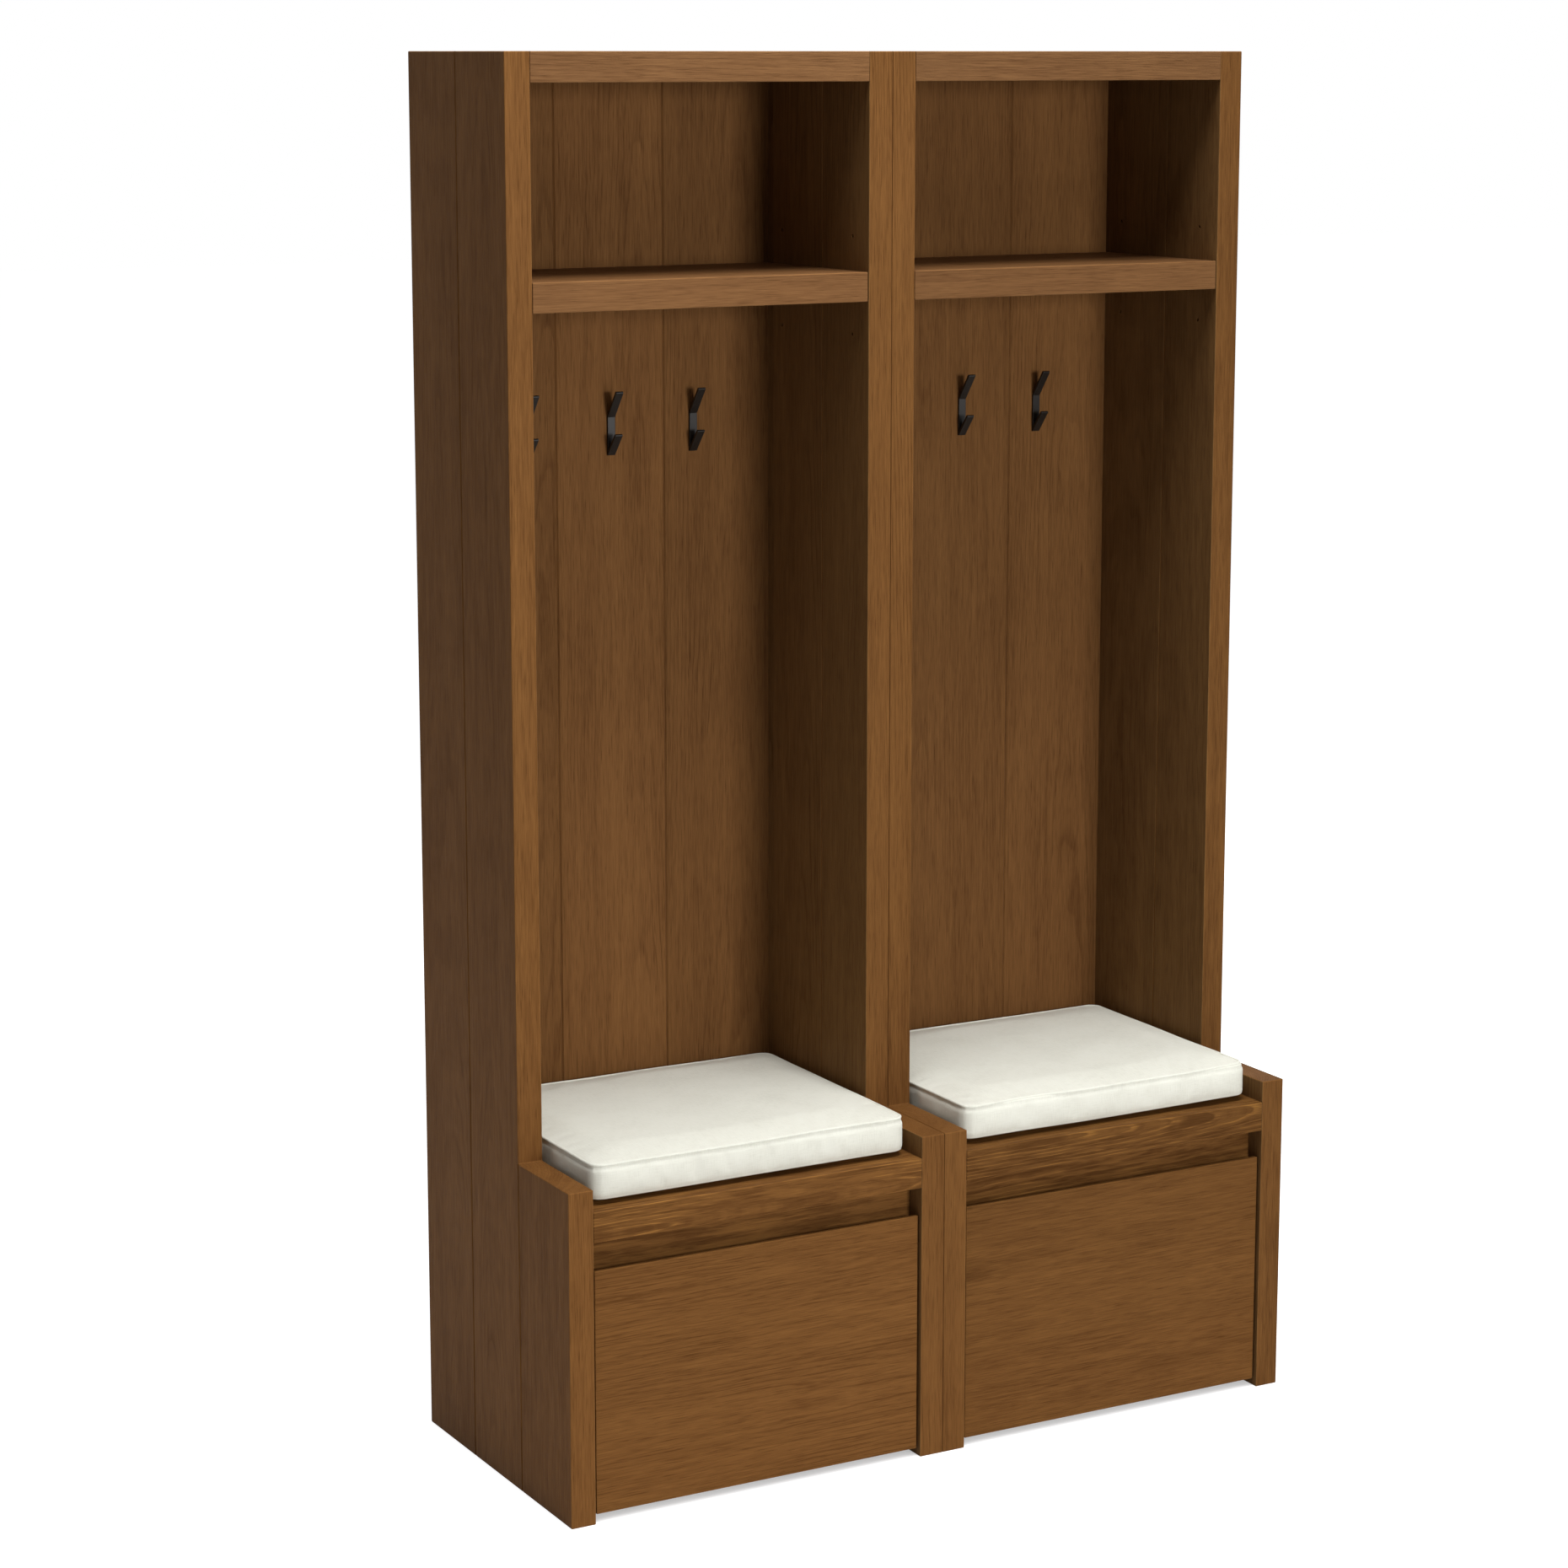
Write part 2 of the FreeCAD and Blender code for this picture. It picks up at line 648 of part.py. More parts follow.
def shelf_pins(towers):
    length = S["pin_hole_depth"] + S["pin_reach"]
    centres = [(y - S["tower_depth"] / 2, SHELF_MIDDLE) for y in PIN_COLUMNS]
    faces = []
    for x in towers:
        faces.append((x + S["side_thickness"] - S["pin_hole_depth"], centres, length))
        faces.append((x + S["side_thickness"] + OPENING - S["pin_reach"], centres, length))
    return peg_group("shelf_pins", "YZ", faces, S["pin_diameter"])


def panel_dowels(towers):
    length = 2 * S["dowel_bite"]
    centres = [(y - S["tower_depth"] / 2, z) for panel in DOWELS.values() for y, z in panel]
    faces = []
    for x in towers:
        for joint in (x + S["side_thickness"], x + S["side_thickness"] + OPENING):
            faces.append((joint - S["dowel_bite"], centres, length))
    return peg_group("panel_dowels", "YZ", faces, S["dowel_diameter"])


def hook_screws(towers):
    centres = [(x + hook, z) for x in towers for hook in HOOK_PLACES for z in HOOK_SCREW_HEIGHTS]
    bite = S["back_thickness"] + S["hook_screw_bite"]
    rear = S["tower_depth"] / 2 - BACK_REAR
    faces = [(rear, centres, 1, bite, S["hook_screw_head_height"])]
    return screw_group("hook_screws", "XZ", faces, S["hook_screw_diameter"], S["hook_screw_head"])


def back_screws(towers):
    inset = S["side_thickness"] - S["back_rebate"] / 2
    columns = [x + across for x in towers for across in (inset, S["tower_width"] - inset)]
    centres = [(column, z) for column in columns for z in back_screw_heights()]
    bite = S["back_thickness"] + S["back_screw_bite"]
    rear = S["tower_depth"] / 2 - BACK_REAR
    faces = [(rear, centres, 1, bite, S["back_screw_head_height"])]
    return screw_group("back_screws", "XZ", faces, S["back_screw_diameter"], S["back_screw_head"])


def cabinet_slide_screws(towers):
    centres = [(y - S["tower_depth"] / 2, z) for y, z in slide_screw_places()]
    bite = S["slide_sheet"] + S["slide_screw_bite"]
    height = S["slide_screw_head_height"]
    faces = []
    for x in towers:
        left = x + S["side_thickness"]
        faces.append((left + S["slide_sheet"], centres, -1, bite, height))
        faces.append((left + OPENING - S["slide_sheet"], centres, 1, bite, height))
    shank, head = S["slide_screw_diameter"], S["slide_screw_head"]
    return screw_group("cabinet_slide_screws", "YZ", faces, shank, head)


def box_slide_screws(name, x):
    centres = [(y - S["tower_depth"] / 2, z) for y, z in slide_screw_places()]
    bite = S["slide_sheet"] + S["box_screw_bite"]
    height = S["slide_screw_head_height"]
    left = x + S["side_thickness"] + S["slide_space"]
    right = left + BOX_WIDTH
    faces = [
        (left - S["slide_sheet"], centres, 1, bite, height),
        (right + S["slide_sheet"], centres, -1, bite, height),
    ]
    return screw_group(name, "YZ", faces, S["slide_screw_diameter"], S["slide_screw_head"])


def tower_bolts(joint):
    """Sleeve nuts from the left tower and bolts from the right one, their heads sunk in the inner sides."""
    places = [(y - S["tower_depth"] / 2, z) for y, z in BOLTS]
    seat = S["side_thickness"] - S["bolt_counterbore_depth"]
    sleeve_length = 2 * seat - S["bolt_sleeve_gap"]
    shank_length = 2 * seat - S["bolt_end_gap"]
    sleeves = new_body("tower_sleeve_nuts")
    barrel = sketch_on(sleeves, "YZ", "sleeve_barrels", joint - seat)
    draw_circles(barrel, places, S["bolt_sleeve_diameter"])
    pad(sleeves, barrel, sleeve_length)
    heads = sketch_on(sleeves, "YZ", "sleeve_heads", joint - seat)
    draw_circles(heads, places, S["bolt_head"])
    pad(sleeves, heads, S["bolt_head_height"], True)
    thread = S["bolt_diameter"] + 2 * S["hole_play"]
    end = joint - seat + sleeve_length
    bore(sleeves, "YZ", "sleeve_threads", end, places, thread, sleeve_length)
    bolts = [(joint + seat, places, -1, shank_length, S["bolt_head_height"])]
    screw_group("tower_bolts", "YZ", bolts, S["bolt_diameter"], S["bolt_head"])


def drawer(tower, x):
    left = x + S["side_thickness"] + S["slide_space"]
    front_y = FRONT_REAR - S["tower_depth"] / 2
    wall, height = S["box_wall"], BOX_HEIGHT
    inner_width = BOX_WIDTH - 2 * wall
    groove_low = S["box_bottom_lift"]
    groove_high = groove_low + S["box_bottom_thickness"] + S["bottom_play"]
    groove = S["box_groove_depth"]

    def drawer_front():
        name = f"{tower}_drawer_front"
        width = OPENING - 2 * S["front_side_gap"]
        body = block(name, width, S["front_thickness"], FRONT_HEIGHT, S["arris_radius"])
        bevel = sketch_on(body, "YZ", f"{name}_bevel")
        top, rear, over = FRONT_HEIGHT, S["front_thickness"], S["cut_overrun"]
        land, drop = S["finger_land"], S["finger_bevel_drop"]
        run = rear - land
        corners = [
            (land - over * run / drop, top + over),
            (rear + over, top - drop - over * drop / run),
            (rear + over, top + over),
        ]
        draw_outline(bevel, corners)
        pocket(body, bevel, width, reverse=True)
        lift = BOX_BOTTOM - S["front_lift"]
        across = S["slide_space"] - S["front_side_gap"]
        holes = [(u + across, v + lift) for u, v in front_screw_places()]
        diameter = S["front_screw_diameter"] + 2 * S["hole_play"]
        deep = S["front_screw_bite"] + S["hole_play"]
        bore(body, "XZ", f"{name}_pilots", -rear, holes, diameter, deep, True)
        edge = x + S["side_thickness"] + S["front_side_gap"]
        place(body, edge, S["front_setback"] - S["tower_depth"] / 2, S["front_lift"])

    def cross_wall(label, y, pilots):
        name = f"{tower}_drawer_{label}"
        body = block(name, inner_width, wall, height, S["box_arris"])
        inward = wall - groove if pilots else ZERO
        channel = sketch_on(body, "XY", f"{name}_groove", groove_low)
        over = S["cut_overrun"]
        low, high = (inward, wall + over) if pilots else (-over, groove)
        draw_rectangle(channel, -over, low, inner_width + over, high)
        pocket(body, channel, groove_high - groove_low, reverse=True)
        if pilots:
            holes = [(u - wall, v) for u, v in front_screw_places()]
            diameter = S["front_screw_diameter"] + 2 * S["hole_play"]
            bore(body, "XZ", f"{name}_holes", ZERO, holes, diameter, wall)
        place(body, left + wall, y, BOX_BOTTOM)

    def long_wall(label, offset, hand):
        name = f"{tower}_drawer_{label}"
        body = block(name, wall, BOX_DEPTH, height, S["box_arris"])
        channel = sketch_on(body, "XY", f"{name}_groove", groove_low)
        over = S["cut_overrun"]
        low, high = (wall - groove, wall + over) if hand > 0 else (-over, groove)
        draw_rectangle(channel, low, wall - groove, high, BOX_DEPTH - wall + groove)
        pocket(body, channel, groove_high - groove_low, reverse=True)
        face = ZERO if hand > 0 else wall
        holes = [(y - FRONT_REAR, z - BOX_BOTTOM) for y, z in slide_screw_places()]
        diameter = S["slide_screw_diameter"] + 2 * S["hole_play"]
        depth = S["box_screw_bite"] + S["hole_play"]
        bore(body, "YZ", f"{name}_pilots", face, holes, diameter, depth, hand > 0)
        place(body, left + offset, front_y, BOX_BOTTOM)

    def bottom():
        play = S["bottom_play"]
        width = inner_width + 2 * groove - 2 * play
        depth = BOX_DEPTH - 2 * wall + 2 * groove - 2 * play
        body = block(f"{tower}_drawer_bottom", width, depth, S["box_bottom_thickness"], play)
        inset = wall - groove + play
        place(body, left + inset, front_y + inset, BOX_BOTTOM + groove_low)

    low_side, high_side = SIDES[tower]
    drawer_front()
    cross_wall("box_front", front_y, True)
    cross_wall("back", front_y + BOX_DEPTH - wall, False)
    long_wall(f"{low_side}_side", ZERO, 1)
    long_wall(f"{high_side}_side", BOX_WIDTH - wall, -1)
    bottom()
    centres = [(left + u, BOX_BOTTOM + v) for u, v in front_screw_places()]
    bite = wall + S["front_screw_bite"]
    inside = S["tower_depth"] / 2 - FRONT_REAR - wall
    faces = [(inside, centres, 1, bite, S["front_screw_head_height"])]
    shank, head = S["front_screw_diameter"], S["front_screw_head"]
    screw_group(f"{tower}_drawer_front_screws", "XZ", faces, shank, head)
    box_slide_screws(f"{tower}_drawer_slide_screws", x)


def front_screw_places():
    """Across from the drawer box's left side, and up from its lower edge."""
    inset = S["front_screw_inset"]
    return [(u, v) for u in (inset, BOX_WIDTH - inset) for v in (inset, BOX_HEIGHT - inset)]


def slides(tower, x):
    """Two slides of three channels each. Sections are drawn from the cabinet's face towards the drawer."""
    half, sheet, play = S["slide_height"] / 2, S["slide_sheet"], S["slide_play"]
    middle_half = half - sheet - play
    drawer_half = middle_half - sheet - play
    near = S["middle_web_place"]
    far = S["slide_space"]
    channels = {
        "cabinet": (ZERO, sheet, S["cabinet_flange"], half),
        "middle": (near, near + sheet, near + S["middle_flange"], middle_half),
        "drawer": (far, far - sheet, far - S["drawer_flange"], drawer_half),
    }
    for side, face, way in zip(SIDES[tower], (ZERO, OPENING), (1, -1)):
        wall = x + S["side_thickness"] + face
        for label, (web, inside, tip, reach) in channels.items():
            name = f"{tower}_{side}_slide_{label}"
            body = new_body(name)
            section = sketch_on(body, "XZ", f"{name}_section")
            profile = [
                (web, -reach),
                (tip, -reach),
                (tip, sheet - reach),
                (inside, sheet - reach),
                (inside, reach - sheet),
                (tip, reach - sheet),
                (tip, reach),
                (web, reach),
            ]
            draw_outline(section, [(u * way, v) for u, v in profile])
            pad(body, section, SLIDE_LENGTH, True)
            if label != "middle":
                hole = S["slide_screw_diameter"] + 2 * S["hole_play"]
                middle = SLIDE_MIDDLE
                places = [(y - SLIDE_START, z - middle) for y, z in slide_screw_places()]
                outward = (label == "cabinet") == (way > 0)
                face_at = web * way
                bore(body, "YZ", f"{name}_holes", face_at, places, hole, sheet, outward)
            place(body, wall, SLIDE_START - S["tower_depth"] / 2, SLIDE_MIDDLE)


def cushion(name, x):
    """A boxed cushion: sides drawn in between the corners, a seam all round, and a crowned top above it."""
    d = {key: entry.value for key, entry in S.items()}
    width = OPENING.value - 2 * d["cushion_side_gap"]
    depth = BACK_FACE.value - d["cushion_front_setback"] - d["cushion_back_gap"]

    def ring(inset, height):
        """Four shallow arcs between four round corners."""
        half_x, half_y = width / 2 - inset, depth / 2 - inset
        corner = d["cushion_corner_radius"]
        waist = d["cushion_waist"]
        edges = []
        for turn in range(4):
            half_run, half_out = (half_x, half_y) if turn % 2 == 0 else (half_y, half_x)
            start, end = V(-half_run + corner, -half_out, 0), V(half_run - corner, -half_out, 0)
            dip = V(0, -half_out + waist, 0)
            bulge = corner * (1 - math.sqrt(0.5))
            after = V(half_run, -half_out + corner, 0)
            round_middle = V(half_run - bulge, -half_out + bulge, 0)
            spin = FreeCAD.Rotation(V(0, 0, 1), 90 * turn)
            lift = V(0, 0, height)
            for points in ((start, dip, end), (end, round_middle, after)):
                edges.append(Part.Arc(*[spin.multVec(point) + lift for point in points]).toShape())
        return Part.Wire(edges)

    seam = d["cushion_border"]
    foot = d["cushion_foot"]
    border = Part.makeLoft([ring(foot, 0), ring(0, foot), ring(0, seam)], True, True)
    inset_run = min(width, depth) / 2 - d["cushion_corner_radius"]
    rings = []
    for rise_share, inset_share in zip(CROWN_RISE_SHARES, CROWN_INSET_SHARES):
        rings.append(ring(inset_run * inset_share, seam + d["cushion_crown"] * rise_share))
    crown = Part.makeLoft(rings, True, True)
    feature = doc.addObject("Part::Feature", name)
    feature.Label = name
    feature.Shape = border.fuse(crown).removeSplitter()
    middle_x = S["tower_width"] / 2
    middle_y = (S["cushion_front_setback"] + BACK_FACE - S["cushion_back_gap"]) / 2 - S["tower_depth"] / 2
    place(feature, x + middle_x, middle_y, S["seat_top"] + S["cushion_seat_gap"])
    return feature


def build():
    fill_sheet()
    towers = {"left": -S["tower_width"], "right": ZERO}
    far = S["tower_width"] - S["side_thickness"]
    for tower, x in towers.items():
        low_side, high_side = SIDES[tower]
        side_panel(f"{tower}_{low_side}_side", x, 1, low_side == "inner")
        side_panel(f"{tower}_{high_side}_side", x + far, -1, high_side == "inner")
        top_panel(f"{tower}_top", x)
        shelf(f"{tower}_shelf", x)
        back_panel(f"{tower}_back_panel", x)
        seat_panel(f"{tower}_seat", x)
        finger_rail(f"{tower}_finger_rail", x)
        base_panel(f"{tower}_base", x)
        for number, hook in enumerate(HOOK_PLACES, start=1):
            coat_hook(f"{tower}_hook_{number}", x + hook)
        drawer(tower, x)
        slides(tower, x)
        cushion(f"{tower}_cushion", x)
    places = list(towers.values())
    shelf_pins(places)
    panel_dowels(places)
    hook_screws(places)
    back_screws(places)
    cabinet_slide_screws(places)
    tower_bolts(ZERO)
    doc.recompute()


def export():
    """Checks every object, then writes one file for each piece."""
    for thing in doc.Objects:
        if "Invalid" in thing.State or "Error" in thing.State:
            raise RuntimeError(f"{thing.Name} failed: {thing.State}")
        if thing.TypeId == "PartDesign::Pocket" and thing.Shape.Volume >= thing.BaseFeature.Shape.Volume:
            raise RuntimeError(f"{thing.Name} cuts nothing")
    pieces = [thing for thing in doc.Objects if thing.TypeId in ("PartDesign::Body", "Part::Feature")]
    for piece in pieces:
        if piece.Shape.isNull() or not piece.Shape.isValid() or not piece.Shape.Solids:
            raise RuntimeError(f"{piece.Label} has no sound solid")
    os.makedirs("parts", exist_ok=True)
    for piece in pieces:
        piece.Shape.exportStep(f"parts/{piece.Label}.step")
        box = piece.Shape.BoundBox
        extent = f"{box.XLength:.1f} x {box.YLength:.1f} x {box.ZLength:.1f}"
        print(f"{piece.Label}: {len(piece.Shape.Solids)} solids, {extent}")
    print(len(pieces), "pieces")


build()
export()
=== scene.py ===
import math

import bmesh
import bpy
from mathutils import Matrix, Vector, noise
from mathutils.bvhtree import BVHTree


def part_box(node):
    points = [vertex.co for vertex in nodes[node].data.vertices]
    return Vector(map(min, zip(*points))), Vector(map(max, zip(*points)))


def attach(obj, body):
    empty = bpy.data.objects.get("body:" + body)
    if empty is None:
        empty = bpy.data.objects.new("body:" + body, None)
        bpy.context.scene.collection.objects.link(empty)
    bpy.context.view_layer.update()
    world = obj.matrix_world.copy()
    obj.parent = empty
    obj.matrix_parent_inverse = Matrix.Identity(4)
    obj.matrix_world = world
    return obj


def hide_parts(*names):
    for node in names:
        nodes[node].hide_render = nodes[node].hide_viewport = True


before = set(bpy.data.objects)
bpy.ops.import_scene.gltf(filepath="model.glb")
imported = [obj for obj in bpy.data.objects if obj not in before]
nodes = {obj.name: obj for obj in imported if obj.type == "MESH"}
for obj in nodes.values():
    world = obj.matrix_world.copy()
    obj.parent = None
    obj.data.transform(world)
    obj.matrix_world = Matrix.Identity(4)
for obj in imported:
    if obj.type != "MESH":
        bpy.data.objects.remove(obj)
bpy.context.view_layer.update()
print("frame loaded,", len(nodes), "pieces")


# Node helpers

def addNode(tree, kind, **settings):
    node = tree.nodes.new(kind)
    for name, value in settings.items():
        setattr(node, name, value)
    return node


def feed(tree, socket, value):
    # A socket takes another node's output or a plain value
    if isinstance(value, bpy.types.NodeSocket):
        tree.links.new(value, socket)
    else:
        socket.default_value = value


def calc(tree, operation, first, second=0.0, third=0.0):
    node = addNode(tree, "ShaderNodeMath", operation=operation)
    for socket, value in zip(node.inputs, (first, second, third)):
        feed(tree, socket, value)
    return node.outputs[0]


def centred(tree, value):
    return calc(tree, "SUBTRACT", value, 0.5)


def combine(tree, x, y, z):
    node = addNode(tree, "ShaderNodeCombineXYZ")
    for socket, value in zip(node.inputs, (x, y, z)):
        feed(tree, socket, value)
    return node.outputs[0]


def separate(tree, vector):
    node = addNode(tree, "ShaderNodeSeparateXYZ")
    feed(tree, node.inputs[0], vector)
    return node.outputs[0], node.outputs[1], node.outputs[2]


def cloudy(tree, vector, scale, detail=2.0, roughness=0.5):
    node = addNode(tree, "ShaderNodeTexNoise")
    feed(tree, node.inputs["Vector"], vector)
    node.inputs["Scale"].default_value = scale
    node.inputs["Detail"].default_value = detail
    node.inputs["Roughness"].default_value = roughness
    return node.outputs[0]


def ease(tree, value, low, high, newLow=0.0, newHigh=1.0):
    node = addNode(tree, "ShaderNodeMapRange", interpolation_type="SMOOTHSTEP")
    feed(tree, node.inputs["Value"], value)
    for name, number in (("From Min", low), ("From Max", high), ("To Min", newLow), ("To Max", newHigh)):
        node.inputs[name].default_value = number
    return node.outputs[0]


def colourRamp(tree, value, stops):
    node = addNode(tree, "ShaderNodeValToRGB")
    elements = node.color_ramp.elements
    while len(elements) < len(stops):
        elements.new(0.5)
    for element, (position, colour) in zip(elements, stops):
        element.position = position
        element.color = (*colour, 1.0)
    feed(tree, node.inputs[0], value)
    return node.outputs[0]


def tint(tree, colour, amount):
    # Colour times a grey amount
    node = addNode(tree, "ShaderNodeVectorMath", operation="SCALE")
    feed(tree, node.inputs[0], colour)
    feed(tree, node.inputs["Scale"], amount)
    return node.outputs[0]


def warm(tree, colour, shares):
    # Red, green and blue each times its own share
    node = addNode(tree, "ShaderNodeVectorMath", operation="MULTIPLY")
    feed(tree, node.inputs[0], colour)
    feed(tree, node.inputs[1], shares)
    return node.outputs[0]


def relief(tree, shader, height, distance, strength=1.0):
    node = addNode(tree, "ShaderNodeBump")
    node.inputs["Strength"].default_value = strength
    node.inputs["Distance"].default_value = distance
    feed(tree, node.inputs["Height"], height)
    tree.links.new(node.outputs[0], shader.inputs["Normal"])


def newMaterial(name, **shaderValues):
    material = bpy.data.materials.new(name)
    material.use_nodes = True
    shader = material.node_tree.nodes["Principled BSDF"]
    for socket, value in shaderValues.items():
        shader.inputs[socket.replace("_", " ")].default_value = value
    return material, material.node_tree, shader


def objectPlace(tree):
    return addNode(tree, "ShaderNodeTexCoord").outputs["Object"]


# Oak

oak = {
    "browns": ((0.0, (0.052, 0.021, 0.007)), (0.3, (0.120, 0.051, 0.0165)), (0.5, (0.183, 0.083, 0.028)),
               (0.72, (0.250, 0.117, 0.039)), (1.0, (0.41, 0.198, 0.058))),
    "specular": 0.014,
    # Painted shade: the walls of the bays, which lie in shade, are made a little less orange
    "bayShadeTint": (1.04, 1.22, 1.50),
    "rough": (0.50, 0.38),   # where the wood is dark and where it is light
    "staveSpread": 0.12,   # how much lighter or darker one stave is than another
    # Metres from an edge where its paler rub, which is wear and also a painted edge highlight, or the dark line of a
    # join, starts to fade and is gone
    "wearAndHighlightWidth": (0.0004, 0.0016), "wearAndHighlightLift": 0.20, "joinWidth": (0.0002, 0.0008), "joinDark": 0.30,
    # Streaks per metre across and along the grain, and how strong they are
    "coarse": ((140.0, 4.5), 0.18), "fine": ((550.0, 19.0), 0.30), "hair": ((1300.0, 38.0), 0.32),
    "broad": ((14.0, 1.2), 0.27), "pores": ((1000.0, 28.0), 0.14),
}

# How the rings of any wood run: clouds per metre across and along the grain. Shift is how far along the
# board, in metres, one stave's pattern may lie from the next one's, and lean how much the rings rise along it.
rings = {"warp": (6.0, 0.8), "wobble": (35.0, 11.0), "patches": (8.0, 2.5), "flames": (130.0, 9.0),
         "shift": 7.0, "lean": 0.02}

# The sides' arm is wider than the tall part above it
arm = {"top": 0.4865, "tallFront": -0.0795}
towerWidth = 0.606
slack = 0.0005   # metres within which a point counts as on a face
farAway = 1.0   # metres from any edge, for a kind of edge that a board hasn't got

# Axes are across, through and along the board. Stave is where the first of the boards it is glued from
# starts and how wide each is. Ring is a year's growth and pith about how deep the tree's middle lies.
# Figure is how dark the rings are, below 0 light, and mottle how strong the flames are. Swirl is how far
# the rings wander, and the lower plain is, the more of the board shows them. Warmth multiplies red, green
# and blue. Tone and shade are how light the left and right tower's piece is, partly the wood's own tone and
# partly painted shade: the right tower's pieces, the back boards, the seat front and the recess under it are darker.
boards = {
    "outer_side": {"axes": "YXZ", "stave": (-0.2405, 0.1608), "ring": 0.004, "figure": 0.09, "pith": 0.10,
                   "mottle": 0.08, "warmth": (1.0, 0.96, 0.84), "toneAndShade": (0.99, 0.80)},
    "inner_side": {"axes": "YXZ", "stave": (-0.2415, 0.148), "ring": 0.004, "figure": 0.14, "pith": 0.05,
                   "warmth": (1.0, 0.96, 0.84), "toneAndShade": (0.88, 0.88)},
    "back_panel": {"axes": "XYZ", "stave": (0.038, 0.17667), "ring": 0.0045, "figure": 0.11, "pith": 0.06,
                   "toneAndShade": (0.85, 0.79)},
    "top": {"axes": "YZX", "stave": (-0.0795, 0.12), "ring": 0.004, "figure": 0.09, "pith": 0.07,
            "warmth": (1.03, 1.10, 1.32), "toneAndShade": (0.96, 0.90)},
    "shelf": {"axes": "YZX", "stave": (-0.0785, 0.12), "ring": 0.004, "figure": 0.09, "pith": 0.07,
              "warmth": (0.98, 1.02, 1.18), "toneAndShade": (0.94, 0.88)},
    "seat": {"axes": "ZYX", "stave": (0.41, 0.0445), "ring": 0.0045, "figure": -0.26, "pith": 0.02, "swirl": 3.0,
             "plain": 0.32, "mottle": 0.26, "warmth": (1.0, 0.95, 0.80), "toneAndShade": (0.75, 0.68)},
    "finger_rail": {"axes": "ZYX", "stave": (0.34, 0.07), "ring": 0.006, "figure": -0.16, "pith": 0.02, "swirl": 3.0,
                    "plain": 0.32, "mottle": 0.30, "warmth": (1.0, 0.95, 0.80), "toneAndShade": (0.72, 0.68)},
    "drawer_front": {"axes": "ZYX", "stave": (0.0125, 0.12), "ring": 0.0065, "figure": 0.13, "pith": 0.025,
                     "swirl": 1.6, "mottle": 0.07, "warmth": (1.0, 0.96, 0.82), "toneAndShade": (0.94, 0.78)},
    "base": {"axes": "YZX", "stave": (-0.2415, 0.12), "ring": 0.0045, "figure": 0.10, "pith": 0.07,
             "toneAndShade": (0.90, 0.90)},
}


